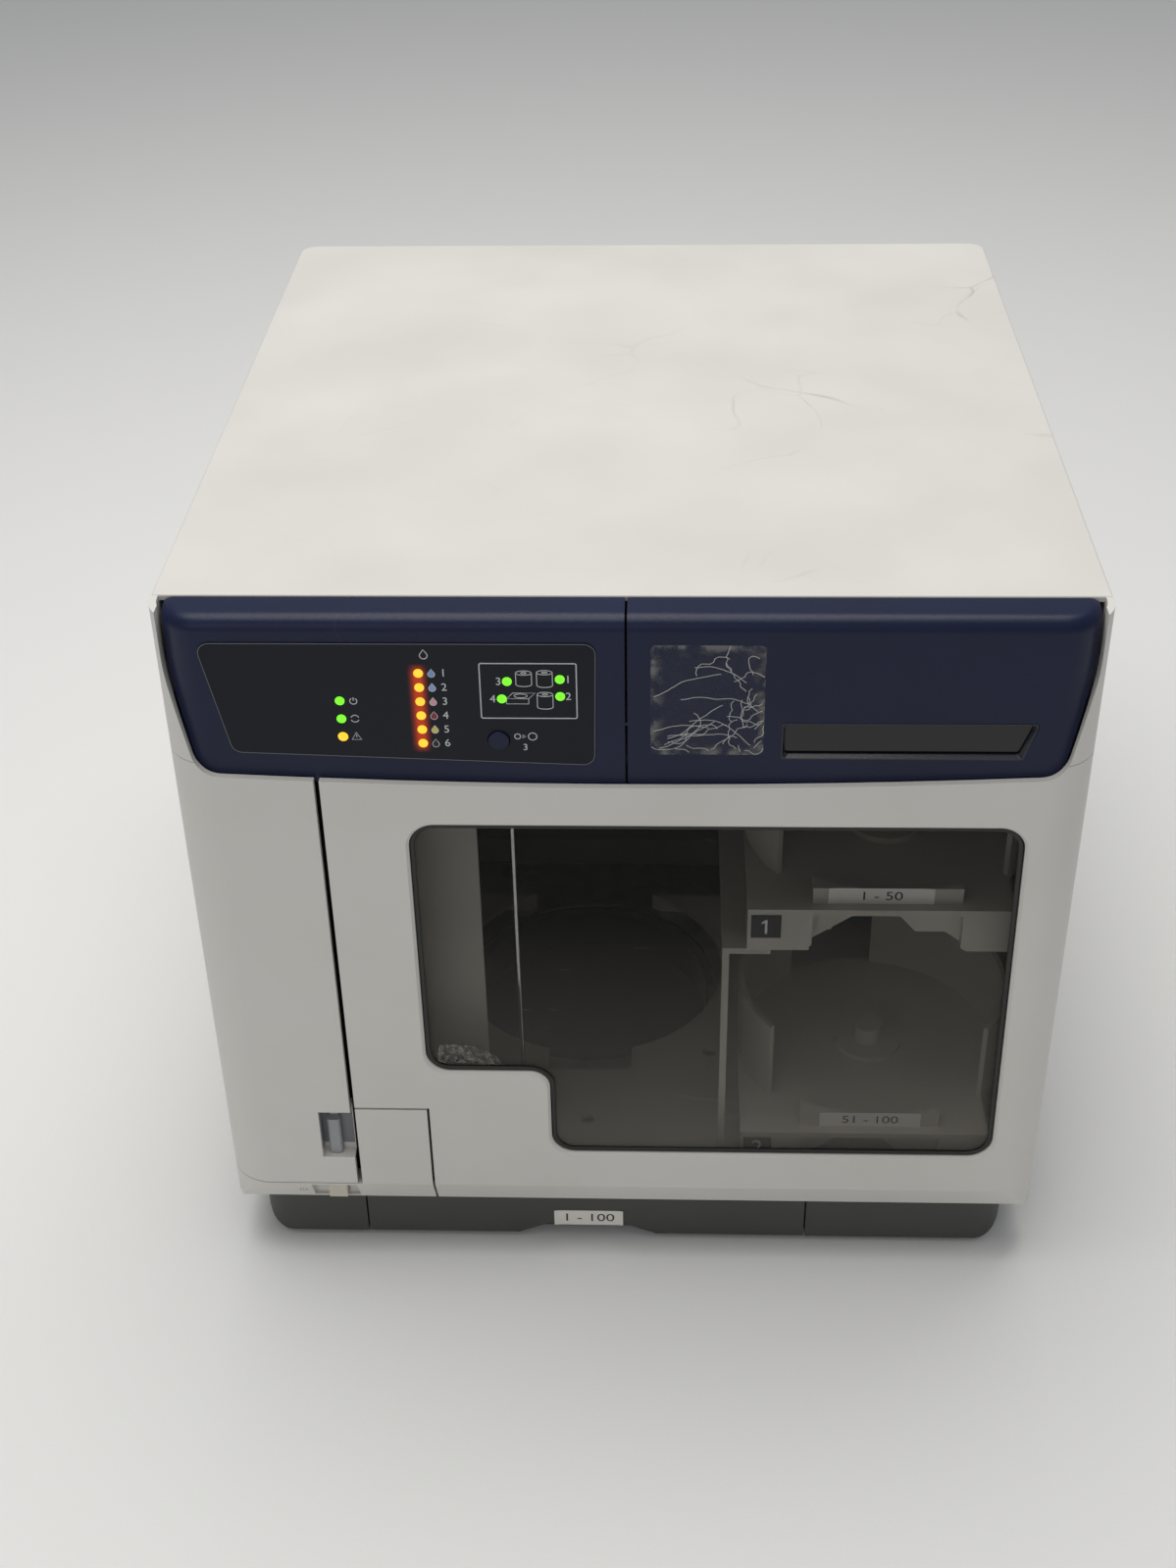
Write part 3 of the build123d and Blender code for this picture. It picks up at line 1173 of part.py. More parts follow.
def belt_motors():
    post_back = column()[1] + ARM_POST_BEHIND + ARM_POST_WALL
    x, z = lift_ends()[0]
    half = MOTOR_SIZE / 2
    lift = block((x - half, x + half), (post_back, post_back + MOTOR_LENGTH), (z - half, z + half))
    x, z = head_ends()[1]
    wall_y = head_belt_y()[1] + 2 * WALL + PRINTER_WALL
    head_x = (x - half, PRINTER_X[1] - PRINTER_WALL)
    head = block(head_x, (wall_y, wall_y + MOTOR_LENGTH), (z - half, z + half))
    return [lift, head]


# ---- drives -----------------------------------------------------------------------------------------
def tray_width_span(half):
    return (LEFT_DISC[0] - half, LEFT_DISC[0] + half)


def disc_drive(low):
    x_span = tray_width_span(DRIVE_WIDTH / 2)
    case = block(x_span, (DRIVE_FRONT, DRIVE_FRONT + DRIVE_DEPTH), (low, low + DRIVE_HEIGHT))
    bay_z = (low + DRIVE_TRAY_LIFT - DRIVE_TRAY_FIT, low + DRIVE_TRAY_LIFT + DRIVE_TRAY_PLATE_HEIGHT)
    bay_x = tray_width_span(DRIVE_TRAY_HALF + DRIVE_TRAY_FIT)
    return case - block(bay_x, (DRIVE_FRONT - WALL, DRIVE_BAY_BACK), bay_z)


def drive_tray(low):
    z_low = low + DRIVE_TRAY_LIFT
    front = DRIVE_FRONT - DRIVE_TRAY_FIT
    y_span = (front, DRIVE_FRONT + DRIVE_TRAY_LENGTH)
    tray = block(tray_width_span(DRIVE_TRAY_HALF), y_span, (z_low, z_low + DRIVE_TRAY_HEIGHT))
    plate_y = (front - DRIVE_TRAY_FRONT_PLATE, front)
    plate_z = (z_low - DRIVE_TRAY_FIT, z_low + DRIVE_TRAY_PLATE_HEIGHT)
    tray = tray + block(tray_width_span(DRIVE_TRAY_HALF + WALL), plate_y, plate_z)
    centre = (LEFT_DISC[0], DRIVE_DISC_Y)
    recess = post(centre, DISC_RADIUS + DISC_FIT / 2, z_low + DRIVE_TRAY_HEIGHT - DISC_FIT, HEIGHT)
    tray = tray - recess
    hole = post(centre, STACKER_HUB_RADIUS, 0, HEIGHT)
    way = block(tray_width_span(STACKER_HUB_RADIUS), (DRIVE_DISC_Y, y_span[1] - 2 * WALL), (0, HEIGHT))
    return tray - hole - way


def drive_cage():
    low = COVER_BOTTOM + PAN_THICKNESS
    half = DRIVE_WIDTH / 2
    pieces = block(tray_width_span(half + CAGE_WALL), CAGE_Y, (CAGE_TOP - CAGE_WALL, CAGE_TOP))
    for side in (-1, 1):
        near = LEFT_DISC[0] + side * half
        far = near + side * CAGE_WALL
        pieces = pieces + block(span_of(near, far), CAGE_Y, (low, CAGE_TOP))
    return pieces


# ---- printer -----------------------------------------------------------------------------------------
def printer_frame():
    low = CAGE_TOP
    base = block(PRINTER_X, PRINTER_Y, (low, low + PRINTER_WALL))
    top = block(PRINTER_X, (PRINTER_SIDE_FRONT, PRINTER_Y[1]), (PRINTER_TOP, PRINTER_TOP + PRINTER_WALL))
    frame = base + top
    side_y = (PRINTER_SIDE_FRONT, PRINTER_Y[1])
    frame = frame + block((PRINTER_X[0], PRINTER_X[0] + PRINTER_WALL), side_y, (low, PRINTER_TOP))
    frame = frame + block((PRINTER_X[1] - PRINTER_WALL, PRINTER_X[1]), side_y, (low, PRINTER_TOP))
    hanger_y = head_belt_y()[1] + 2 * WALL
    hanger_z = (head_belt_z() - PULLEY_RADIUS - WALL, PRINTER_TOP)
    frame = frame + block(PRINTER_X, (hanger_y, hanger_y + PRINTER_WALL), hanger_z)
    for side in (-1, 1):
        near = LEFT_DISC[0] + side * (PRINT_TRAY_HALF + DRIVE_TRAY_FIT)
        far = near + side * PRINT_RAIL
        rail_z = (low, PRINT_TRAY_Z[1] + WALL)
        frame = frame + block(span_of(near, far), (PRINTER_Y[0], PRINT_TRAY_Y[1]), rail_z)
    return frame


def carriage_rails():
    span = (PRINTER_X[0] + PRINTER_WALL, PRINTER_X[1] - PRINTER_WALL)
    return [rod_x(RAIL_Y, z, SHAFT_RADIUS, *span) for z in RAIL_Z]


def print_carriage():
    head = block(HEAD_X, HEAD_Y, HEAD_Z)
    for z in RAIL_Z:
        head = head - rod_x(RAIL_Y, z, SHAFT_RADIUS + RUNNING_FIT, HEAD_X[0] - WALL, HEAD_X[1] + WALL)
    middle = (HEAD_X[0] + HEAD_X[1]) / 2
    half_x = HEAD_NOZZLE[0] / 2
    half_y = HEAD_NOZZLE[1] / 2
    nozzle_y = (HEAD_NOZZLE_Y - half_y + WALL, HEAD_NOZZLE_Y + half_y + WALL)
    nozzle = block((middle - half_x, middle + half_x), nozzle_y, (HEAD_Z[0] - HEAD_NOZZLE[2], HEAD_Z[0]))
    return head + nozzle


def print_tray():
    tray = block(tray_width_span(PRINT_TRAY_HALF), PRINT_TRAY_Y, PRINT_TRAY_Z)
    centre = (LEFT_DISC[0], PRINT_DISC_Y)
    tray = tray - post(centre, DISC_RADIUS + DISC_FIT / 2, PRINT_TRAY_Z[1] - DISC_FIT, HEIGHT)
    tray = tray + post(centre, STACKER_HUB_RADIUS, PRINT_TRAY_Z[0], PRINT_TRAY_Z[1] - DISC_FIT / 2)
    return tray - post(centre, JAW_RADIUS + PART_GAP, 0, HEIGHT)


# ---- ink ------------------------------------------------------------------------------------------------
def ink_bay_low(index):
    return INK_BAY_FIRST + INK_BAY_PITCH * index


def ink_holder():
    holder = block(INK_HOLDER_X, INK_HOLDER_Y, (COVER_BOTTOM + PAN_THICKNESS, INK_HOLDER_TOP))
    bay_x = (INK_HOLDER_X[0] + INK_BAY_WALL, INK_HOLDER_X[1] - INK_BAY_WALL)
    bay_y = (INK_HOLDER_Y[0] - WALL, INK_HOLDER_Y[1] - INK_BAY_WALL)
    for index in range(INK_COLOURS):
        low = ink_bay_low(index)
        holder = holder - block(bay_x, bay_y, (low, low + INK_BAY_HEIGHT))
    return holder


def ink_cartridges():
    middle = (INK_HOLDER_X[0] + INK_HOLDER_X[1]) / 2
    half = (INK_HOLDER_X[1] - INK_HOLDER_X[0]) / 2 - INK_BAY_WALL - PART_GAP
    front = INK_HOLDER_Y[0] - CARTRIDGE_PROUD
    pieces = []
    for index in range(INK_COLOURS):
        low = ink_bay_low(index)
        y_span = (front, front + CARTRIDGE_LENGTH)
        shape = block((middle - half, middle + half), y_span, (low, low + CARTRIDGE_HEIGHT))
        pieces.append(fillet(shape.edges().group_by(Axis.Y)[0], CARTRIDGE_ROUND))
    return pieces


# ---- electrics and fan ------------------------------------------------------------------------------------
def power_supply():
    low = COVER_BOTTOM + PAN_THICKNESS
    case = block(SUPPLY_X, SUPPLY_Y, (low, SUPPLY_Z))
    wide = SUPPLY_X[1] - SUPPLY_X[0]
    deep = SUPPLY_Y[1] - SUPPLY_Y[0]
    middle = ((SUPPLY_X[0] + SUPPLY_X[1]) / 2, SUPPLY_Y[0] + deep / 2)
    vents = column_of(SlotOverall(wide - 4 * WALL, REAR_SLOT[1]), middle, REAR_SLOT_PITCH, SUPPLY_SLOT_COUNT)
    return case - plan_prism(vents, SUPPLY_Z - WALL, SUPPLY_Z + WALL)


def main_board():
    low = PRINTER_TOP + PRINTER_WALL
    board_z = low + BOARD_LIFT
    board = block(MAIN_BOARD_X, MAIN_BOARD_Y, (board_z, board_z + BOARD_THICKNESS))
    for x in (MAIN_BOARD_X[0] + 2 * WALL, MAIN_BOARD_X[1] - 2 * WALL):
        for y in (MAIN_BOARD_Y[0] + 2 * WALL, MAIN_BOARD_Y[1] - 2 * WALL):
            board = board + post((x, y), WALL, low, board_z)
    return board


def fan_back():
    return REAR - WALL


def fan_frame():
    x, z = FAN_AT
    half = FAN_SIZE / 2
    front = fan_back() - FAN_DEPTH
    frame = block((x - half, x + half), (front, fan_back()), (z - half, z + half))
    frame = frame - rod_y(x, z, FAN_BORE, front - WALL, fan_back() + WALL)
    hub = rod_y(x, z, FAN_HUB, front, front + WALL)
    strut = block((x - half, x + half), (front, front + WALL), (z - WALL / 2, z + WALL / 2))
    cross = block((x - WALL / 2, x + WALL / 2), (front, front + WALL), (z - half, z + half))
    frame = frame + hub + strut + cross
    return frame - rod_y(x, z, FAN_PIN + RUNNING_FIT, front - WALL, front + 2 * WALL)


def fan_rotor():
    x, z = FAN_AT
    front = fan_back() - FAN_DEPTH + WALL + SEAM
    back = fan_back() - WALL
    rotor = rod_y(x, z, FAN_HUB, front, back)
    rotor = rotor + rod_y(x, z, FAN_PIN, front - WALL, front)
    from_hub = (Align.MIN, Align.CENTER, Align.CENTER)
    blade = Box(FAN_BORE - FAN_HUB, FAN_DEPTH / 2, BLADE_THICKNESS, align=from_hub)
    blade = Pos(FAN_HUB - WALL / 2, 0, 0) * Rot(BLADE_PITCH, 0, 0) * blade
    for index in range(FAN_BLADES):
        turn = Rot(0, 360 / FAN_BLADES * index, 0)
        rotor = rotor + Pos(x, (front + back) / 2, z) * turn * blade
    return rotor


def ac_inlet():
    x, z = INLET_AT
    width = INLET_SIZE[0] - PART_GAP
    height = INLET_SIZE[1] - PART_GAP
    body = Pos(x, z) * Rectangle(width, height)
    inlet = front_prism(body, REAR - INLET_DEPTH, REAR)
    rim = Pos(x, z) * RectangleRounded(width + 2 * WALL, height + 2 * WALL, WALL)
    inlet = inlet + front_prism(rim, REAR, REAR + INLET_RIM)
    right = x + width / 2 - INLET_RIM
    left = x - width / 2 + INLET_RIM
    low = z - height / 2 + INLET_RIM
    high = z + height / 2 - INLET_RIM
    mouth = rounded_polygon(
        [
            (left, low),
            (right, low),
            (right, high - INLET_CUT),
            (right - INLET_CUT, high),
            (left + INLET_CUT, high),
            (left, high - INLET_CUT),
        ],
        [INLET_ROUND, INLET_ROUND, 0, 0, 0, 0],
    )
    inlet = inlet - front_prism(mouth, REAR - INLET_DEPTH + WALL, REAR + WALL)
    for offset_x, offset_z in INLET_BLADES:
        blade = Pos(x + offset_x, z + offset_z) * Rectangle(*INLET_BLADE)
        inlet = inlet + front_prism(blade, REAR - INLET_DEPTH, REAR - WALL)
    return inlet


def usb_port():
    x, z = USB_AT
    width = USB_SIZE[0] - PART_GAP
    height = USB_SIZE[1] - PART_GAP
    port = front_prism(Pos(x, z) * Rectangle(width, height), REAR - USB_DEPTH, REAR)
    mouth = Pos(x, z) * Rectangle(width - 2 * USB_WALL, height - 2 * USB_WALL)
    port = port - front_prism(mouth, REAR - USB_DEPTH + USB_BACK, REAR + WALL)
    tongue = Pos(x, z) * Rectangle(width / 2, height / 3)
    return port + front_prism(tongue, REAR - USB_DEPTH, REAR - USB_BACK)


def cover_screws():
    screws = []
    for x, z in SCREWS_AT:
        head = rod_y(x, z, SCREW_RADIUS, REAR, REAR + SCREW_HEAD)
        shank = rod_y(x, z, SCREW_SHANK - RUNNING_FIT, REAR - SCREW_LENGTH, REAR)
        slot_x = (x - SCREW_RADIUS, x + SCREW_RADIUS)
        slot = block(slot_x, (REAR + SCREW_HEAD / 2, REAR + WALL), (z - SEAM, z + SEAM))
        screws.append(head + shank - slot)
    return screws


# ---- the whole machine, one file for each sub-part ------------------------------------------------------
save("base_tray", base_tray())
save("rubber_feet", *rubber_feet())
save("chassis_pan", chassis_pan())
save("floor_plate", floor_plate())
save("divider_wall", divider_wall())
save("front_frame", front_frame())
save("side_cover_left", side_cover(-1))
save("side_cover_right", side_cover(1))
save("top_cover", top_cover())
save("rear_cover", rear_cover())
save("exhaust_hood", exhaust_hood())
save("drawer_fascia", drawer_fascia())
save("output_drawer", output_drawer())
save("hinge_brackets", *hinge_brackets())
save("disc_door", disc_door())
save("door_window", door_window())
save("ink_door", ink_door())
save("ink_door_latch", latch_lever())
save("lower_front_panel", lower_front_panel())
save("power_button", power_button())
save("control_panel", control_panel())
save("right_blue_cover", right_blue_cover())
save("slot_window", slot_window())
save("panel_overlay", panel_overlay())
save("status_lamps", *lamps([(STATUS_LAMP_X, z) for z in STATUS_LAMP_Z]))
save("ink_lamps", *lamps(ink_lamp_places()))
save("stacker_lamps", *lamps(STACKER_LAMPS))
save("ink_key", ink_key())
save("panel_board", panel_board())
save("stacker_1", stacker(STACKER_FLOORS[0]))
save("stacker_2", stacker(STACKER_FLOORS[1]))
save("stacker_labels", *stacker_labels())
save("stacker_shelf", stacker_shelf())
save("arm_post", arm_post())
save("guide_shafts", *guide_shafts())
save("lift_carriage", lift_carriage())
save("swing_arm", swing_arm())
save("gripper_jaw_left", gripper_jaw(-1))
save("gripper_jaw_right", gripper_jaw(1))
save("drive_belts", *drive_belts())
save("belt_pulleys", *belt_pulleys())
save("belt_motors", *belt_motors())
for number, drive_low in enumerate(DRIVE_Z, start=1):
    save("disc_drive_" + str(number), disc_drive(drive_low))
    save("drive_tray_" + str(number), drive_tray(drive_low))
save("drive_cage", drive_cage())
save("printer_frame", printer_frame())
save("carriage_rails", *carriage_rails())
save("print_carriage", print_carriage())
save("print_tray", print_tray())
save("ink_holder", ink_holder())
save("ink_cartridges", *ink_cartridges())
save("power_supply", power_supply())
save("main_board", main_board())
save("fan_frame", fan_frame())
save("fan_rotor", fan_rotor())
save("ac_inlet", ac_inlet())
save("usb_port", usb_port())
save("cover_screws", *cover_screws())
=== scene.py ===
import math
import random

import bmesh
import bpy
from mathutils import Matrix, Vector


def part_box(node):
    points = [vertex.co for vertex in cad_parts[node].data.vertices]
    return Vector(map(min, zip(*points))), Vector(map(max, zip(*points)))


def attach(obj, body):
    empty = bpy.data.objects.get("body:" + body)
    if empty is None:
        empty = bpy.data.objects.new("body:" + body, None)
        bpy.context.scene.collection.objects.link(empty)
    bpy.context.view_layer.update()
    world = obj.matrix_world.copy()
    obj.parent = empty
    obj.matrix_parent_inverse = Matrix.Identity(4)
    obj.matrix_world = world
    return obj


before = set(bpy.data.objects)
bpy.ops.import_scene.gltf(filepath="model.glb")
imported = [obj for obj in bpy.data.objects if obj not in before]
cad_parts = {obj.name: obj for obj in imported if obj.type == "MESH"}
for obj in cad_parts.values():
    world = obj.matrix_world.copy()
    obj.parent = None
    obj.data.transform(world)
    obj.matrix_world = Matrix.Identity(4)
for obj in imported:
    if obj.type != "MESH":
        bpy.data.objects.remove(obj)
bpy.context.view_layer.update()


# ---- base tray and drawer front ------------------------------------------------------
# The base is one dark grey ABS moulding with a fine spark-eroded texture. The drawer
# front is the same plastic, and sits flush between the base's two ends.

def group_input(group, name, default):
    socket = group.interface.new_socket(name=name, in_out="INPUT", socket_type="NodeSocketFloat")
    socket.default_value = default


def build_grain_group():
    group = bpy.data.node_groups.new("spark_grain", "ShaderNodeTree")
    group_input(group, "Scale", 2600.0)
    for name in ("Height", "Mottle"):
        group.interface.new_socket(name=name, in_out="OUTPUT", socket_type="NodeSocketFloat")
    nodes, links = group.nodes, group.links
    inside = nodes.new("NodeGroupInput")
    place = nodes.new("ShaderNodeTexCoord")
    pits = nodes.new("ShaderNodeTexNoise")
    pits.inputs["Detail"].default_value = 3.0
    cloud = nodes.new("ShaderNodeTexNoise")
    cloud.inputs["Scale"].default_value = 14.0
    cloud.inputs["Detail"].default_value = 5.0
    outside = nodes.new("NodeGroupOutput")
    links.new(place.outputs["Object"], pits.inputs["Vector"])
    links.new(place.outputs["Object"], cloud.inputs["Vector"])
    links.new(inside.outputs["Scale"], pits.inputs["Scale"])
    links.new(pits.outputs["Fac"], outside.inputs["Height"])
    links.new(cloud.outputs["Fac"], outside.inputs["Mottle"])
    return group


def build_scuff_group():
    group = bpy.data.node_groups.new("handling_scuffs", "ShaderNodeTree")
    group_input(group, "Scale", 9.0)
    group_input(group, "Cover", 0.5)
    group.interface.new_socket(name="Mask", in_out="OUTPUT", socket_type="NodeSocketFloat")
    nodes, links = group.nodes, group.links
    inside = nodes.new("NodeGroupInput")
    place = nodes.new("ShaderNodeTexCoord")
    bend = nodes.new("ShaderNodeTexNoise")
    bend.inputs["Scale"].default_value = 11.0
    shift = nodes.new("ShaderNodeVectorMath")
    shift.operation = "MULTIPLY_ADD"
    shift.inputs[1].default_value = (0.09, 0.09, 0.09)
    cells = nodes.new("ShaderNodeTexVoronoi")
    cells.feature = "DISTANCE_TO_EDGE"
    hair = nodes.new("ShaderNodeMapRange")
    hair.inputs["From Max"].default_value = 0.012
    hair.inputs["To Min"].default_value = 1.0
    hair.inputs["To Max"].default_value = 0.0
    patch = nodes.new("ShaderNodeTexNoise")
    patch.inputs["Scale"].default_value = 16.0
    patch.inputs["Detail"].default_value = 6.0
    worn = nodes.new("ShaderNodeMapRange")
    worn.inputs["To Max"].default_value = 1.0
    upper = nodes.new("ShaderNodeMath")
    upper.operation = "ADD"
    upper.inputs[1].default_value = 0.16
    mask = nodes.new("ShaderNodeMath")
    mask.operation = "MULTIPLY"
    outside = nodes.new("NodeGroupOutput")
    links.new(place.outputs["Object"], bend.inputs["Vector"])
    links.new(bend.outputs["Color"], shift.inputs[0])
    links.new(place.outputs["Object"], shift.inputs[2])
    links.new(shift.outputs["Vector"], cells.inputs["Vector"])
    links.new(inside.outputs["Scale"], cells.inputs["Scale"])
    links.new(cells.outputs["Distance"], hair.inputs["Value"])
    links.new(place.outputs["Object"], patch.inputs["Vector"])
    links.new(patch.outputs["Fac"], worn.inputs["Value"])
    links.new(inside.outputs["Cover"], worn.inputs["From Min"])
    links.new(inside.outputs["Cover"], upper.inputs[0])
    links.new(upper.outputs["Value"], worn.inputs["From Max"])
    links.new(hair.outputs["Result"], mask.inputs[0])
    links.new(worn.outputs["Result"], mask.inputs[1])
    links.new(mask.outputs["Value"], outside.inputs["Mask"])
    return group


spark_grain = build_grain_group()
handling_scuffs = build_scuff_group()


def start_material(name):
    material = bpy.data.materials.new(name)
    material.use_nodes = True
    nodes, links = material.node_tree.nodes, material.node_tree.links
    return material, nodes, links, nodes["Principled BSDF"]


def add_group(nodes, group, **values):
    node = nodes.new("ShaderNodeGroup")
    node.node_tree = group
    for name, value in values.items():
        node.inputs[name].default_value = value
    return node


def two_tone(nodes, links, factor, low, high):
    tone = nodes.new("ShaderNodeMix")
    tone.data_type = "RGBA"
    tone.inputs["A"].default_value = (*low, 1.0)
    tone.inputs["B"].default_value = (*high, 1.0)
    links.new(factor, tone.inputs["Factor"])
    return tone.outputs["Result"]


def spread(nodes, links, value, low, high, to_low, to_high):
    span = nodes.new("ShaderNodeMapRange")
    ends = (("From Min", low), ("From Max", high), ("To Min", to_low), ("To Max", to_high))
    for name, number in ends:
        span.inputs[name].default_value = number
    links.new(value, span.inputs["Value"])
    return span.outputs["Result"]


def mottled(nodes, links, texture, low, high):
    patches = spread(nodes, links, texture.outputs["Mottle"], 0.3, 0.7, 0, 1)
    return two_tone(nodes, links, patches, low, high)


def lay_over(nodes, links, under, mask, colour):
    layer = nodes.new("ShaderNodeMix")
    layer.data_type = "RGBA"
    layer.inputs["B"].default_value = (*colour, 1.0)
    links.new(mask, layer.inputs["Factor"])
    links.new(under, layer.inputs["A"])
    return layer.outputs["Result"]


def add_bump(nodes, links, surface, height, distance, strength=1.0):
    bump = nodes.new("ShaderNodeBump")
    bump.inputs["Distance"].default_value = distance
    bump.inputs["Strength"].default_value = strength
    links.new(height, bump.inputs["Height"])
    links.new(bump.outputs["Normal"], surface.inputs["Normal"])


def moulded_plastic(
    name, low, high, gloss=(0.42, 0.6), grain=2600.0, depth=0.00004, marks=(9.0, 0.62), mark=None
):
    material, nodes, links, surface = start_material(name)
    texture = add_group(nodes, spark_grain, Scale=grain)
    colour = mottled(nodes, links, texture, low, high)
    scuffs = add_group(nodes, handling_scuffs, Scale=marks[0], Cover=marks[1])
    rubbed = mark or tuple(0.8 * part for part in low)
    worn = lay_over(nodes, links, colour, scuffs.outputs["Mask"], rubbed)
    links.new(worn, surface.inputs["Base Color"])
    rough = spread(nodes, links, texture.outputs["Mottle"], 0.3, 0.7, *gloss)
    links.new(rough, surface.inputs["Roughness"])
    add_bump(nodes, links, surface, texture.outputs["Height"], depth, 0.6)
    return material


def dress(material, *names):
    for name in names:
        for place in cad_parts[name].material_slots:
            place.material = material


base_plastic = moulded_plastic(
    "base_plastic", (0.052, 0.053, 0.048), (0.066, 0.067, 0.061), mark=(0.12, 0.12, 0.11)
)
dress(base_plastic, "base_tray", "drawer_fascia")


# ---- feet ----------------------------------------------------------------------------
# Four round feet of black moulded rubber, pressed into the base. They are matt.

rubber = moulded_plastic("foot_rubber", (0.012, 0.012, 0.012), (0.022, 0.021, 0.02), (0.75, 0.9), 1500.0)
dress(rubber, "rubber_feet")


# ---- chassis, cages and frames -------------------------------------------------------
# Folded sheet steel with a zinc plating. The plating shows its crystals as faint
# patches, and drawn lines run across the sheet. Shafts, rails, screws and the port's
# shell are bright ground steel.

def plated_steel(name, low, high, rough):
    material, nodes, links, surface = start_material(name)
    surface.inputs["Metallic"].default_value = 1.0
    place = nodes.new("ShaderNodeTexCoord")
    crystals = nodes.new("ShaderNodeTexVoronoi")
    crystals.inputs["Scale"].default_value = 130.0
    stretch = nodes.new("ShaderNodeMapping")
    stretch.inputs["Scale"].default_value = (8.0, 900.0, 900.0)
    lines = nodes.new("ShaderNodeTexNoise")
    lines.inputs["Scale"].default_value = 1.0
    links.new(place.outputs["Object"], crystals.inputs["Vector"])
    links.new(place.outputs["Object"], stretch.inputs["Vector"])
    links.new(stretch.outputs["Vector"], lines.inputs["Vector"])
    links.new(two_tone(nodes, links, crystals.outputs["Color"], low, high), surface.inputs["Base Color"])
    links.new(spread(nodes, links, lines.outputs["Fac"], 0.3, 0.7, *rough), surface.inputs["Roughness"])
    add_bump(nodes, links, surface, lines.outputs["Fac"], 0.00003, 0.3)
    return material


zinc_steel = plated_steel("zinc_steel", (0.36, 0.37, 0.38), (0.46, 0.47, 0.48), (0.3, 0.5))
ground_steel = plated_steel("ground_steel", (0.62, 0.62, 0.63), (0.7, 0.7, 0.7), (0.12, 0.24))
dress(zinc_steel, "chassis_pan", "hinge_brackets", "arm_post", "drive_cage", "printer_frame", "power_supply")
dress(ground_steel, "guide_shafts", "carriage_rails", "cover_screws", "usb_port")


# ---- disc chamber --------------------------------------------------------------------
# The chamber's floor, wall and stacker shelf are brown-grey moulded ABS, with pale
# hairlines where discs and fingers rub. The front frame, the trays and the moving
# carriages are black ABS.

chamber_plastic = moulded_plastic(
    "chamber_plastic", (0.38, 0.355, 0.305), (0.45, 0.42, 0.365), (0.38, 0.55), mark=(0.58, 0.55, 0.49)
)
shadow_plastic = moulded_plastic(
    "shadow_plastic", (0.012, 0.012, 0.012), (0.02, 0.02, 0.019), (0.45, 0.65), mark=(0.05, 0.05, 0.05)
)
dress(chamber_plastic, "floor_plate", "divider_wall", "stacker_shelf")
dress(shadow_plastic, "front_frame", "output_drawer", "drive_tray_1", "drive_tray_2", "print_tray")
dress(shadow_plastic, "lift_carriage", "swing_arm", "print_carriage", "ink_holder", "fan_frame", "fan_rotor")


# ---- guide strip in the chamber ------------------------------------------------------
# A light upright line shows behind the window, left of the drop hole. It is taken to be
# the edge of a slim bent strip of bright sheet steel that stands on the chamber's floor.

def mesh_piece(name, builder, material, body):
    shape = bmesh.new()
    builder(shape)
    bmesh.ops.remove_doubles(shape, verts=shape.verts, dist=1e-7)
    bmesh.ops.recalc_face_normals(shape, faces=shape.faces)
    mesh = bpy.data.meshes.new(name)
    shape.to_mesh(mesh)
    shape.free()
    mesh.materials.append(material)
    piece = bpy.data.objects.new(name, mesh)
    bpy.context.scene.collection.objects.link(piece)
    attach(piece, body)
    return piece


def brick(shape, low, high, round_by=0.0):
    size = [high[axis] - low[axis] for axis in range(3)]
    middle = [(high[axis] + low[axis]) / 2 for axis in range(3)]
    place = Matrix.Translation(middle) @ Matrix.Diagonal((*size, 1.0))
    made = bmesh.ops.create_cube(shape, size=1.0, matrix=place)
    if round_by:
        edges = {edge for vert in made["verts"] for edge in vert.link_edges}
        bmesh.ops.bevel(
            shape, geom=list(edges), offset=round_by, segments=2,
            profile=0.5, affect="EDGES", material=-1,
        )


strip_left, strip_right, strip_toe = -0.0512, -0.0498, -0.0440
strip_front, strip_back = -0.2015, -0.1965
strip_foot, strip_foot_top, strip_top = 0.0428, 0.0438, 0.2660
strip_edge = 0.0003


def guide_strip(shape):
    corner = (strip_left, strip_front, strip_foot)
    brick(shape, corner, (strip_right, strip_back, strip_top), strip_edge)
    brick(shape, corner, (strip_toe, strip_back, strip_foot_top), strip_edge)


mesh_piece("guide_strip", guide_strip, ground_steel, "housing")


# ---- arm jaws, boards, belts and drives ----------------------------------------------
# The jaws and the power button are cream plastic, the boards are glass fibre under green
# solder mask, the belts are black rubber, the motors' shells are a plain alloy, and the
# drives' cases are steel with a dark paint.

cream_plastic = moulded_plastic("cream_plastic", (0.62, 0.58, 0.48), (0.68, 0.64, 0.54), (0.3, 0.42), 3000.0)
board_green = moulded_plastic("board_green", (0.012, 0.09, 0.035), (0.02, 0.13, 0.05), (0.25, 0.4), 900.0)
drive_paint = moulded_plastic("drive_paint", (0.03, 0.03, 0.032), (0.045, 0.045, 0.047), (0.35, 0.5), 1800.0)
motor_alloy = plated_steel("motor_alloy", (0.42, 0.42, 0.42), (0.5, 0.5, 0.5), (0.4, 0.55))
dress(cream_plastic, "gripper_jaw_left", "gripper_jaw_right", "power_button")
dress(board_green, "panel_board", "main_board")
dress(rubber, "drive_belts")
dress(shadow_plastic, "belt_pulleys", "ac_inlet")
dress(motor_alloy, "belt_motors")
dress(drive_paint, "disc_drive_1", "disc_drive_2")


# ---- ink cartridges ------------------------------------------------------------------
# Six moulded polypropylene boxes, each with a clear colour stripe on its front end that
# says which ink it holds.

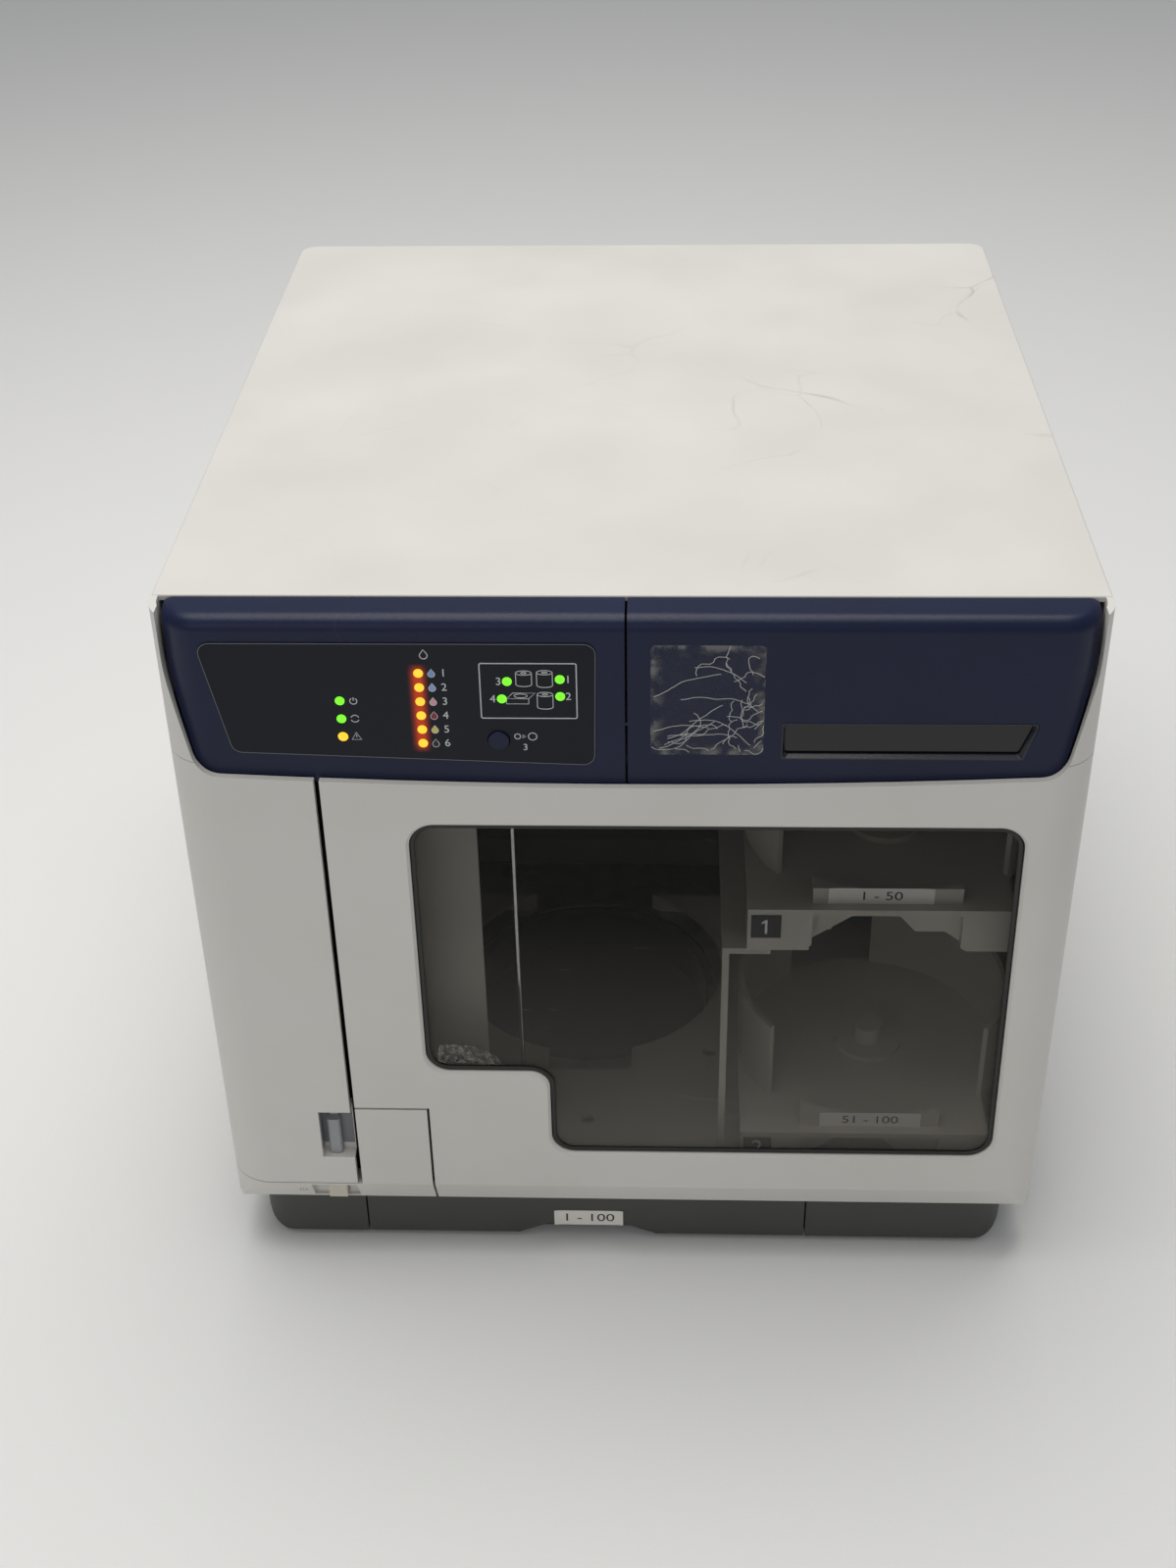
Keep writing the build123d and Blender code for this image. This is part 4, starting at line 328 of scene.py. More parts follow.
ink_colours = {
    "stripe_cyan": (0.0, 0.32, 0.62),
    "stripe_pale_cyan": (0.25, 0.58, 0.78),
    "stripe_pale_magenta": (0.82, 0.33, 0.5),
    "stripe_magenta": (0.62, 0.02, 0.2),
    "stripe_yellow": (0.85, 0.66, 0.02),
    "stripe_black": (0.01, 0.01, 0.01),
}
cartridge_plastic = moulded_plastic(
    "cartridge_plastic", (0.05, 0.05, 0.055), (0.06, 0.06, 0.065), (0.25, 0.35)
)
dress(cartridge_plastic, "ink_cartridges")
cartridge_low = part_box("ink_cartridges")[0]
cartridge_pitch, stripe_rise = 0.034, 0.006
stripe_left, stripe_right, stripe_height = -0.1700, -0.1430, 0.015
stripe_front, stripe_back = cartridge_low.y - 0.0004, cartridge_low.y + 0.0002
for index, (name, colour) in enumerate(reversed(ink_colours.items())):
    stripe_low = cartridge_low.z + cartridge_pitch * index + stripe_rise
    stripe = moulded_plastic(name, colour, tuple(0.85 * part for part in colour), (0.25, 0.35))

    def stripe_plate(shape, low=stripe_low):
        top = low + stripe_height
        brick(shape, (stripe_left, stripe_front, low), (stripe_right, stripe_back, top), 0.0002)

    mesh_piece("ink_" + name, stripe_plate, stripe, "housing")


# ---- stackers ------------------------------------------------------------------------
# Two moulded bins for blank discs, in a lighter brown-grey ABS. A black number plate is
# glued to the left block of each, with its numeral printed in pale grey.

stacker_plastic = moulded_plastic(
    "stacker_plastic", (0.43, 0.4, 0.345), (0.5, 0.47, 0.41), (0.36, 0.5), mark=(0.62, 0.6, 0.54)
)
plate_film = moulded_plastic("plate_film", (0.008, 0.008, 0.009), (0.014, 0.014, 0.015), (0.25, 0.35))
dress(stacker_plastic, "stacker_1", "stacker_2")
dress(plate_film, "stacker_labels")


def printing_ink(name, colour):
    material, nodes, links, surface = start_material(name)
    texture = add_group(nodes, spark_grain, Scale=5200.0)
    worn = tuple(0.72 * part for part in colour)
    links.new(two_tone(nodes, links, texture.outputs["Height"], worn, colour), surface.inputs["Base Color"])
    surface.inputs["Roughness"].default_value = 0.55
    return material


pale_ink = printing_ink("pale_ink", (0.72, 0.74, 0.76))
plate_ink = printing_ink("plate_ink", (0.9, 0.9, 0.88))
dark_ink = printing_ink("dark_ink", (0.02, 0.02, 0.022))


ink_thickness = 0.00004
letter_share = 0.7


def front_text(name, words, middle, height, material, body, stretch=1.0):
    letters = bpy.data.curves.new(name, "FONT")
    letters.body = words
    letters.align_x = "CENTER"
    letters.align_y = "CENTER"
    letters.size = height / letter_share
    letters.extrude = ink_thickness / 2
    holder = bpy.data.objects.new(name + "_outline", letters)
    bpy.context.scene.collection.objects.link(holder)
    bpy.context.view_layer.update()
    mesh = bpy.data.meshes.new_from_object(holder)
    bpy.data.objects.remove(holder)
    mesh.name = name
    mesh.materials.clear()
    mesh.materials.append(material)
    upright = Matrix.Rotation(math.radians(90), 4, "X")
    mesh.transform(Matrix.Translation(middle) @ upright @ Matrix.Diagonal((stretch, 1.0, 1.0, 1.0)))
    piece = bpy.data.objects.new(name, mesh)
    bpy.context.scene.collection.objects.link(piece)
    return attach(piece, body)


plates_low, plates_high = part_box("stacker_labels")
plate_middle_x = (plates_low.x + plates_high.x) / 2
plate_height = 0.012
upper_middle_z = plates_high.z - plate_height / 2
lower_middle = (plate_middle_x, plates_low.y, plates_low.z + plate_height / 2)


def numeral_one(shape):
    face_y, half, half_stem = plates_low.y - 0.00003, 0.0005, 0.0037
    stem_foot = (plate_middle_x - half, face_y, upper_middle_z - half_stem)
    stem_head = (plate_middle_x + half, plates_low.y, upper_middle_z + half_stem)
    brick(shape, stem_foot, stem_head)
    flag = [(-half, half_stem), (-half, 0.0024), (-0.0019, 0.0014), (-0.0019, 0.0024)]
    corners = [shape.verts.new((plate_middle_x + x, face_y, upper_middle_z + z)) for x, z in flag]
    shape.faces.new(corners)


mesh_piece("numeral_1", numeral_one, plate_ink, "housing")
front_text("numeral_2", "2", lower_middle, 0.0078, plate_ink, "housing")


# ---- label tapes ---------------------------------------------------------------------
# Three strips of white label-maker tape that the machine's owner stuck on: one on each
# stacker, one on the drawer's front. They hold plain numbers, and their ends lift a little.

tape_white = moulded_plastic(
    "tape_white", (0.76, 0.74, 0.68), (0.84, 0.82, 0.76), (0.3, 0.4), 4200.0, mark=(0.55, 0.53, 0.47)
)


tape_lift, tape_flat_share = 0.0003, 0.86
tape_thickness, tape_print_share = 0.00014, 0.52


def label_tape(name, middle, size, words, body):
    half_x, half_z = size[0] / 2, size[1] / 2
    upright = Matrix.Rotation(math.radians(90), 4, "X")
    place = Matrix.Translation(middle) @ upright @ Matrix.Diagonal((half_x, half_z, 1.0, 1.0))

    def tape(shape):
        rows = bmesh.ops.create_grid(shape, x_segments=12, y_segments=2, size=1.0, matrix=place)
        for vert in rows["verts"]:
            along = abs(vert.co.x - middle[0]) / half_x
            loose = max(0.0, along - tape_flat_share) / (1.0 - tape_flat_share)
            vert.co.y -= tape_lift * loose

    strip = mesh_piece(name, tape, tape_white, body)
    wall = strip.modifiers.new("thickness", "SOLIDIFY")
    wall.thickness = tape_thickness
    wall.offset = 0.0
    print_place = (middle[0], middle[1] - 0.0001, middle[2])
    height = size[1] * tape_print_share
    front_text(name + "_print", words, print_place, height, dark_ink, body, 1.25)


label_tape("tape_stacker_1", (0.1083, -0.2101, 0.2010), (0.0455, 0.0085), "1 - 50", "housing")
label_tape("tape_stacker_2", (0.1113, -0.2101, 0.0700), (0.0470, 0.0085), "51 - 100", "housing")
label_tape("tape_drawer", (-0.0205, -0.2201, 0.0135), (0.0330, 0.0094), "1 - 100", "output_drawer")


# ---- side, top and rear covers -------------------------------------------------------
# Warm white ABS mouldings. The top carries grey rub marks from years of things being put
# down on it, most of them towards the right; the rest is nearly clean.

cover_low, cover_high = (0.66, 0.645, 0.605), (0.7, 0.687, 0.65)
cover_white = moulded_plastic(
    "cover_white", cover_low, cover_high, (0.42, 0.52), marks=(7.0, 0.66), mark=(0.5, 0.485, 0.445)
)
dress(cover_white, "side_cover_left", "side_cover_right", "rear_cover", "exhaust_hood", "ink_door")
dress(cover_white, "disc_door", "lower_front_panel")


def object_axes(nodes, links):
    place = nodes.new("ShaderNodeTexCoord")
    split = nodes.new("ShaderNodeSeparateXYZ")
    links.new(place.outputs["Object"], split.inputs["Vector"])
    return split.outputs


def combine(nodes, links, operation, first, second=None):
    step = nodes.new("ShaderNodeMath")
    step.operation = operation
    links.new(first, step.inputs[0])
    if isinstance(second, float):
        step.inputs[1].default_value = second
    elif second is not None:
        links.new(second, step.inputs[1])
    return step.outputs["Value"]


def top_white():
    material, nodes, links, surface = start_material("top_white")
    texture = add_group(nodes, spark_grain, Scale=2600.0)
    colour = mottled(nodes, links, texture, cover_low, cover_high)
    right_side = spread(nodes, links, object_axes(nodes, links)["X"], -0.05, 0.19, 0.12, 1.0)
    for scale, cover, dark in ((6.0, 0.52, (0.4, 0.385, 0.35)), (15.0, 0.56, (0.46, 0.445, 0.41))):
        scuffs = add_group(nodes, handling_scuffs, Scale=scale, Cover=cover)
        amount = combine(nodes, links, "MULTIPLY", scuffs.outputs["Mask"], right_side)
        colour = lay_over(nodes, links, colour, amount, dark)
    links.new(colour, surface.inputs["Base Color"])
    rough = spread(nodes, links, texture.outputs["Mottle"], 0.3, 0.7, 0.4, 0.52)
    links.new(rough, surface.inputs["Roughness"])
    add_bump(nodes, links, surface, texture.outputs["Height"], 0.00004, 0.6)
    return material


dress(top_white(), "top_cover")


# ---- window pane ---------------------------------------------------------------------
# The big door's window is a smoked, clear acrylic pane with fine hairlines, and its colour
# turns a paler brown-grey towards its foot. A soft black seal lines the opening between
# the pane and the skin.

def smoked_acrylic():
    material, nodes, links, surface = start_material("smoked_acrylic")
    scuffs = add_group(nodes, handling_scuffs, Scale=24.0, Cover=0.6)
    tone = two_tone(nodes, links, scuffs.outputs["Mask"], (0.006, 0.0057, 0.005), (0.10, 0.10, 0.095))
    # The pane's colour turns a paler brown-grey towards its foot.
    towards_foot = spread(nodes, links, object_axes(nodes, links)["Z"], 0.06, 0.2, 0.9, 0.0)
    paler_foot = lay_over(nodes, links, tone, towards_foot, (0.24, 0.225, 0.2))
    links.new(paler_foot, surface.inputs["Base Color"])
    links.new(spread(nodes, links, scuffs.outputs["Mask"], 0, 1, 0.06, 0.3), surface.inputs["Roughness"])
    surface.inputs["Alpha"].default_value = 0.22
    surface.inputs["Specular IOR Level"].default_value = 0.3
    return material


dress(smoked_acrylic(), "door_window")
pane_low, pane_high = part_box("door_window")
pane_lap = 0.0034
window_left, window_low = pane_low.x + pane_lap, pane_low.z + pane_lap
window_top, window_low_right = pane_high.z - pane_lap, pane_high.x - pane_lap
window_top_right = window_low_right - 0.0026
step_x, step_z = -0.036, 0.117
corner_round, step_round = 0.011, 0.009
seal_black = moulded_plastic("seal_black", (0.006, 0.006, 0.006), (0.012, 0.012, 0.011), (0.35, 0.5), 1500.0)


def rounded_loop(corners, segments=8):
    points = []
    count = len(corners)
    for index, (x, z, radius) in enumerate(corners):
        here = Vector((x, z))
        before = Vector(corners[index - 1][:2]) - here
        after = Vector(corners[(index + 1) % count][:2]) - here
        half_turn = before.angle(after) / 2
        reach = radius / math.tan(half_turn)
        inward = (before.normalized() + after.normalized()).normalized()
        centre = here + inward * (radius / math.sin(half_turn))
        first = here + before.normalized() * reach - centre
        last = here + after.normalized() * reach - centre
        for step in range(segments + 1):
            share = step / segments
            points.append(centre + first.slerp(last, share) * radius)
    return points


def window_corners(inset):
    outer, inner = corner_round - inset, step_round + inset
    return [
        (window_left + inset, window_top - inset, outer),
        (window_left + inset, step_z + inset, outer),
        (step_x + inset, step_z + inset, inner),
        (step_x + inset, window_low + inset, outer),
        (window_low_right - inset, window_low + inset, outer),
        (window_top_right - inset, window_top - inset, outer),
    ]


def ring_tube(shape, outlines):
    loops = []
    for points, y in outlines:
        loops.append([shape.verts.new((point.x, y, point.y)) for point in points])
    for at, loop in enumerate(loops):
        ahead = loops[(at + 1) % len(loops)]
        for step in range(len(loop)):
            shape.faces.new((loop[step - 1], loop[step], ahead[step], ahead[step - 1]))


def seal_ring(shape):
    front, back = pane_low.y - 0.0012, pane_low.y - 0.00005
    steps = (
        (0.0001, front + 0.0004),
        (0.0006, front),
        (0.0019, front),
        (0.0023, front + 0.0004),
        (0.0023, back),
        (0.0001, back),
    )
    ring_tube(shape, [(rounded_loop(window_corners(inset)), y) for inset, y in steps])


mesh_piece("window_seal", seal_ring, seal_black, "disc_door")


# ---- marks on the pane ---------------------------------------------------------------
# A few short bright scratches on the pane's face, and a frosted rub mark in its lower left
# corner where the pane is cleaned least.

pale_scratch = printing_ink("pale_scratch", (0.3, 0.3, 0.28))
scratch_seed = random.Random(31)


def pane_scratches(shape):
    for _ in range(9):
        x, z = scratch_seed.uniform(-0.045, 0.05), scratch_seed.uniform(0.14, 0.245)
        start = Vector((x, pane_low.y - 0.00002, z))
        turn = scratch_seed.uniform(-0.35, 0.5)
        length = scratch_seed.uniform(0.002, 0.007)
        ahead = Vector((math.cos(turn), 0.0, math.sin(turn)))
        side = Vector((-math.sin(turn), 0.0, math.cos(turn))) * 0.00005
        tail, tip = start - ahead * length / 2, start + ahead * length / 2
        corners = [tail - side, tip, tail + side]
        shape.faces.new([shape.verts.new(corner) for corner in corners])


scratches = mesh_piece("pane_scratches", pane_scratches, pale_scratch, "disc_door")
scratch_wall = scratches.modifiers.new("thickness", "SOLIDIFY")
scratch_wall.thickness = 0.00002


def frosted_film():
    material, nodes, links, surface = start_material("frosted_film")
    place = nodes.new("ShaderNodeTexCoord")
    specks = nodes.new("ShaderNodeTexNoise")
    specks.inputs["Scale"].default_value = 420.0
    specks.inputs["Detail"].default_value = 8.0
    specks.inputs["Roughness"].default_value = 0.8
    links.new(place.outputs["Object"], specks.inputs["Vector"])
    colour = two_tone(nodes, links, specks.outputs["Fac"], (0.16, 0.15, 0.14), (0.4, 0.39, 0.36))
    links.new(colour, surface.inputs["Base Color"])
    cover = spread(nodes, links, specks.outputs["Fac"], 0.46, 0.62, 0.0, 0.7)
    links.new(cover, surface.inputs["Alpha"])
    surface.inputs["Roughness"].default_value = 0.7
    return material


def frosted_patch(shape):
    y = pane_low.y - 0.00003
    outline = [
        (-0.0870, 0.1205), (-0.0560, 0.1196), (-0.0600, 0.1245),
        (-0.0660, 0.1290), (-0.0740, 0.1315), (-0.0850, 0.1308),
    ]
    loop = rounded_loop([(x, z, 0.0012) for x, z in outline], 3)
    shape.faces.new([shape.verts.new((point.x, y, point.y)) for point in loop])


mesh_piece("frosted_patch", frosted_patch, frosted_film(), "disc_door")


# ---- ink door latch ------------------------------------------------------------------
# A mid-grey moulded lever slides up in a recess of the ink door. Painted shade lines the
# recess: a thin darker grey skin on its left wall, top and back, the faces turned from the
# light, which leaves the lit right wall and the door's white edge below showing white.

latch_plastic = moulded_plastic(
    "latch_plastic", (0.3, 0.31, 0.33), (0.35, 0.36, 0.38), (0.3, 0.42), mark=(0.35, 0.35, 0.34)
)
# The darker grey of the recess's walls is painted shade.
recess_shade_plastic = moulded_plastic("recess_shade_plastic", (0.17, 0.18, 0.195), (0.2, 0.21, 0.225), (0.4, 0.55))
dress(latch_plastic, "ink_door_latch")
well_left, well_right, well_low, well_high, well_floor = -0.1424, -0.1277, 0.0640, 0.0920, -0.2260
lever_slot_left, lever_slot_right = -0.1384, -0.1346
shade_skin_front, shade_skin_foot, shade_skin_depth, shade_skin_gap = -0.2312, well_low + 0.0035, 0.0003, 0.00005


# Thin skins of painted shade on the recess's left wall, top and back.
def latch_recess_shade(shape):
    left, right = well_left + shade_skin_depth, well_right - shade_skin_depth
    under, top = well_high - shade_skin_depth, well_high - shade_skin_gap
    brick(shape, (well_left + shade_skin_gap, shade_skin_front, shade_skin_foot), (left, well_floor, top))
    brick(shape, (left, shade_skin_front, under), (right, well_floor, top))
    face_y, back_y = well_floor - shade_skin_depth / 3, well_floor - shade_skin_gap
    for x_low, x_high in ((left, lever_slot_left), (lever_slot_right, right)):
        brick(shape, (x_low, face_y, shade_skin_foot), (x_high, back_y, under))


mesh_piece("latch_recess_shade", latch_recess_shade, recess_shade_plastic, "ink_door")


# ---- power symbol --------------------------------------------------------------------
# The usual ring and bar for a power switch, moulded a little proud of the lower panel,
# left of the power button.

line_thickness = 0.00005


def flat_line(name, points, width, closed):
    path = bpy.data.curves.new(name, "CURVE")
    path.dimensions = "3D"
    path.bevel_depth = 0.5
    path.bevel_resolution = 1
    line = path.splines.new("POLY")
    line.points.add(len(points) - 1)
    for at, (x, z) in enumerate(points):
        line.points[at].co = (x / width, z / width, 0.0, 1.0)
    line.use_cyclic_u = closed
    path.use_fill_caps = True
    holder = bpy.data.objects.new(name + "_path", path)
    bpy.context.scene.collection.objects.link(holder)
    bpy.context.view_layer.update()
    mesh = bpy.data.meshes.new_from_object(holder)
    bpy.data.objects.remove(holder)
    mesh.transform(Matrix.Diagonal((width, width, line_thickness, 1.0)))
    return mesh


def arc_points(centre, radii, start, end, count=20):
    points = []
    for step in range(count + 1):
        angle = math.radians(start + (end - start) * step / count)
        points.append((centre[0] + radii[0] * math.cos(angle), centre[1] + radii[1] * math.sin(angle)))
    return points


def printed_lines(name, lines, width, face_y, material, body):
    shape = bmesh.new()
    for points, closed in lines:
        mesh = flat_line(name, points, width, closed)
        shape.from_mesh(mesh)
        bpy.data.meshes.remove(mesh)
    mesh = bpy.data.meshes.new(name)
    bmesh.ops.recalc_face_normals(shape, faces=shape.faces)
    shape.to_mesh(mesh)
    shape.free()
    mesh.materials.append(material)
    mesh.transform(Matrix.Translation((0.0, face_y, 0.0)) @ Matrix.Rotation(math.radians(90), 4, "X"))
    piece = bpy.data.objects.new(name, mesh)
    bpy.context.scene.collection.objects.link(piece)
    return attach(piece, body)


def power_sign(centre, radius):
    ring = (arc_points(centre, (radius, radius), 120, 420), False)
    bar = [(centre[0], centre[1] + share * radius) for share in (0.15, 1.25)]
    return [ring, (bar, False)]


raised_grey = printing_ink("raised_grey", (0.3, 0.29, 0.26))
panel_slope = 8.0 / 16.0
panel_top_y, panel_top_z = -0.2325, 0.047
symbol_x, symbol_z = -0.1545, 0.0385
symbol_y = panel_top_y + (panel_top_z - symbol_z) * panel_slope
symbol_lines = power_sign((0.0, 0.0), 0.0017)
power_symbol = printed_lines("power_symbol", symbol_lines, 0.0005, 0.0, raised_grey, "housing")
tilt_back = Matrix.Rotation(math.atan(panel_slope), 4, "X")
power_symbol.data.transform(Matrix.Translation((symbol_x, symbol_y, symbol_z)) @ tilt_back)


# ---- blue band -----------------------------------------------------------------------
# The two navy covers across the top of the front are painted ABS. The paint is satin, with
# a fine speckle that sparkles along the rounded front edge.

def navy_paint():
    material, nodes, links, surface = start_material("navy_paint")
    texture = add_group(nodes, spark_grain, Scale=1500.0)
    scuffs = add_group(nodes, handling_scuffs, Scale=30.0, Cover=0.62)
    colour = mottled(nodes, links, texture, (0.0035, 0.0075, 0.034), (0.005, 0.010, 0.044))
    worn = lay_over(nodes, links, colour, scuffs.outputs["Mask"], (0.05, 0.055, 0.07))
    links.new(worn, surface.inputs["Base Color"])
    surface.inputs["Specular IOR Level"].default_value = 0.3
    rough = spread(nodes, links, texture.outputs["Height"], 0.3, 0.7, 0.3, 0.46)
    links.new(rough, surface.inputs["Roughness"])
    add_bump(nodes, links, surface, texture.outputs["Height"], 0.0001, 0.5)
    return material


dress(navy_paint(), "control_panel", "right_blue_cover", "ink_key")
slot_gloss = moulded_plastic(
    "slot_gloss", (0.003, 0.003, 0.004), (0.005, 0.005, 0.006), (0.05, 0.09), 800.0, 0.000002
)
dress(slot_gloss, "slot_window")


# ---- slot trim -----------------------------------------------------------------------
# A narrow sloped bead of satin black lines the slot window's opening and catches the
# light on its lower edge.

slot_low, slot_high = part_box("slot_window")
slot_lap, slot_round = 0.003, 0.0013
slot_bottom_right = 0.1575
bead_front, bead_slope_end, bead_back = -0.2292, -0.2276, -0.2267
bead_edge, bead_lip, bead_width = 0.00005, 0.0006, 0.0017


def slot_bead(shape):
    outlines = []
    steps = (
        (bead_edge, bead_front),
        (bead_lip, bead_front),
        (bead_width, bead_slope_end),
        (bead_width, bead_back),
        (bead_edge, bead_back),
    )
    for inset, y in steps:
        left, right = slot_low.x + slot_lap + inset, slot_high.x - slot_lap - inset
        foot, top = slot_low.z + slot_lap + inset, slot_high.z - slot_lap - inset
        corners = [
            (left, top, slot_round),
            (right, top, slot_round),
            (slot_bottom_right - inset, foot, slot_round),
            (left, foot, slot_round),
        ]
        outlines.append((rounded_loop(corners, 4), y))
    ring_tube(shape, outlines)


bead_plastic = moulded_plastic(
    "bead_plastic", (0.012, 0.014, 0.022), (0.02, 0.022, 0.032), (0.22, 0.34), 1800.0
)
mesh_piece("slot_bead", slot_bead, bead_plastic, "housing")


# ---- control panel film --------------------------------------------------------------
# A dark polyester film with a fine matt texture covers the control panel. The six ink
# lamps below it leak a red glow into the film around them.

film_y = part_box("panel_overlay")[0].y
lamp_x, lamp_top, lamp_bottom = -0.082, 0.3238, 0.2912


def panel_film():
    material, nodes, links, surface = start_material("panel_film")
    texture = add_group(nodes, spark_grain, Scale=3400.0)
    colour = two_tone(nodes, links, texture.outputs["Height"], (0.004, 0.005, 0.010), (0.010, 0.012, 0.020))
    links.new(colour, surface.inputs["Base Color"])
    surface.inputs["Specular IOR Level"].default_value = 0.25
    rough = spread(nodes, links, texture.outputs["Mottle"], 0.3, 0.7, 0.44, 0.56)
    links.new(rough, surface.inputs["Roughness"])
    axes = object_axes(nodes, links)
    beside = combine(nodes, links, "SUBTRACT", axes["X"], lamp_x - 0.0004)
    away = combine(nodes, links, "ABSOLUTE", beside)
    across = spread(nodes, links, away, 0.0012, 0.0046, 1.0, 0.0)
    glow = spread(nodes, links, axes["Z"], lamp_bottom - 0.0045, lamp_bottom, 0.0, 1.0)
    below = spread(nodes, links, axes["Z"], lamp_top, lamp_top + 0.0042, 1.0, 0.0)
    for factor in (below, across, across):
        glow = combine(nodes, links, "MULTIPLY", glow, factor)
    light = two_tone(nodes, links, glow, (0.0, 0.0, 0.0), (0.75, 0.06, 0.004))
    links.new(light, surface.inputs["Emission Color"])
    surface.inputs["Emission Strength"].default_value = 0.55
    return material


dress(panel_film(), "panel_overlay")


# ---- panel outline -------------------------------------------------------------------
# A hairline in pale ink runs round the film, just inside its edge.

hairline_inset, hairline_round = 0.0004, 0.0046
film_top, film_left, film_right = 0.3373, -0.1695, -0.0120
hairline = rounded_loop(
    [
        (film_left + hairline_inset, film_top - hairline_inset, hairline_round),
        (film_right - hairline_inset, film_top - hairline_inset, hairline_round),
        (-0.0130 - hairline_inset, 0.2805 + hairline_inset, hairline_round),
        (-0.1595 + hairline_inset, 0.2860 + hairline_inset, hairline_round),
    ],
    6,
)
hairline_points = [(point.x, point.y) for point in hairline]
faint_ink = printing_ink("faint_ink", (0.17, 0.19, 0.22))
printed_lines("film_hairline", [(hairline_points, True)], 0.0003, film_y, faint_ink, "housing")


# ---- lamps ---------------------------------------------------------------------------
# Small lenses over light-emitting diodes, all lit: green for the two upper status lamps
# and the stackers, amber for the inks and the lowest status lamp. That last one is a cap,
# because the three status lamps are one node with one green material.

def lit_lens(name, colour, glow, strength):
    material, nodes, links, surface = start_material(name)
    place = nodes.new("ShaderNodeTexCoord")
    grain = nodes.new("ShaderNodeTexNoise")
    grain.inputs["Scale"].default_value = 900.0
    links.new(place.outputs["Object"], grain.inputs["Vector"])
    paler = tuple(min(1.0, 1.1 * part + 0.03) for part in glow)
    links.new(two_tone(nodes, links, grain.outputs["Fac"], glow, paler), surface.inputs["Emission Color"])
    surface.inputs["Base Color"].default_value = (*colour, 1.0)
    surface.inputs["Roughness"].default_value = 0.25
    surface.inputs["Emission Strength"].default_value = strength
    return material


green_lens = lit_lens("green_lens", (0.1, 0.6, 0.02), (0.16, 1.0, 0.0), 1.0)
amber_lens = lit_lens("amber_lens", (0.7, 0.3, 0.01), (1.0, 0.46, 0.012), 1.15)
dress(green_lens, "status_lamps", "stacker_lamps")
dress(amber_lens, "ink_lamps")


def lens_cap(name, centre, radius, material):
    def dome(shape):
        flattened = Matrix.Diagonal((1.0, 0.35, 1.0, 1.0))
        place = Matrix.Translation((centre[0], film_y - 0.0003, centre[1])) @ flattened
        bmesh.ops.create_uvsphere(shape, u_segments=20, v_segments=10, radius=radius, matrix=place)
        outside = [vert for vert in shape.verts if vert.co.y > film_y - 0.00029]
        bmesh.ops.delete(shape, geom=outside, context="VERTS")
        rim = [edge for edge in shape.edges if edge.is_boundary]
        bmesh.ops.contextual_create(shape, geom=rim)

    piece = mesh_piece(name, dome, material, "housing")
    for face in piece.data.polygons:
        face.use_smooth = True


lens_cap("error_lens", (-0.1140, 0.2943), 0.0021, amber_lens)


# ---- printing on the film ------------------------------------------------------------
# Plain symbols and numerals in pale ink: a drop beside each ink lamp, a sketch of the
# stackers and the drawer with their numbers, and signs for the status lamps and the key.

ink_pitch = (lamp_top - lamp_bottom) / 5
print_depth, numeral_height, sign_line = 0.00003, 0.0034, 0.0004
numeral_y = film_y - print_depth
drop_fill = (
    (0.24, 0.42, 0.8), (0.3, 0.48, 0.82), (0.85, 0.42, 0.5),
    (0.3, 0.02, 0.04), (0.85, 0.7, 0.15), (0.012, 0.012, 0.016),
)


def drop_outline(centre, size):
    tip = (centre[0], centre[1] + 1.75 * size)
    return [tip] + arc_points(centre, (size, size), 28, -208, 16)


for index, colour in enumerate(drop_fill):
    number, row_z = str(index + 1), lamp_top - ink_pitch * index
    outline = drop_outline((lamp_x + 0.0051, row_z - 0.0005), 0.00135)

    def filled(shape, outline=outline):
        loop = [shape.verts.new((x, numeral_y, z)) for x, z in outline]
        face = shape.faces.new(loop)
        grown = bmesh.ops.extrude_face_region(shape, geom=[face])
        moved = [item for item in grown["geom"] if isinstance(item, bmesh.types.BMVert)]
        bmesh.ops.translate(shape, verts=moved, vec=(0.0, print_depth, 0.0))

    mesh_piece("drop_fill_" + number, filled, printing_ink("drop_ink_" + number, colour), "housing")
    ring_y = film_y - 0.00002
    printed_lines("drop_ring_" + number, [(outline, True)], 0.00032, ring_y, pale_ink, "housing")
    numeral_place = (lamp_x + 0.0098, numeral_y, row_z)
    front_text("ink_numeral_" + number, number, numeral_place, numeral_height, pale_ink, "housing")

heading = drop_outline((-0.0795, 0.3318), 0.0015)
printed_lines("ink_heading", [(heading, True)], sign_line, film_y, pale_ink, "housing")

status_x = -0.1086
ready = power_sign((status_x, 0.3108), 0.0014)
printed_lines("status_power", ready, sign_line, film_y, pale_ink, "housing")
busy = [
    (arc_points((status_x, 0.3026), (0.0016, 0.0016), 20, 160, 10), False),
    (arc_points((status_x, 0.3026), (0.0016, 0.0016), 200, 340, 10), False),
]
printed_lines("status_busy", busy, sign_line, film_y, pale_ink, "housing")
warning = [
    ([(status_x - 0.0019, 0.2927), (status_x + 0.0019, 0.2927), (status_x, 0.2961)], True),
    ([(status_x, 0.2950), (status_x, 0.2940)], False),
    ([(status_x, 0.29345), (status_x, 0.29335)], False),
]
printed_lines("status_warning", warning, sign_line, film_y, pale_ink, "housing")

box_left, box_right, box_foot, box_top, box_round = -0.0580, -0.0200, 0.3031, 0.3283, 0.0007
box_corners = [
    (box_left, box_top, box_round),
    (box_right, box_top, box_round),
    (box_right, box_foot, box_round),
    (box_left, box_foot, box_round),
]
box_line = [(point.x, point.y) for point in rounded_loop(box_corners, 3)]
printed_lines("stacker_box", [(box_line, True)], 0.0005, film_y, pale_ink, "housing")


bin_half, bin_flat = 0.0031, 0.32


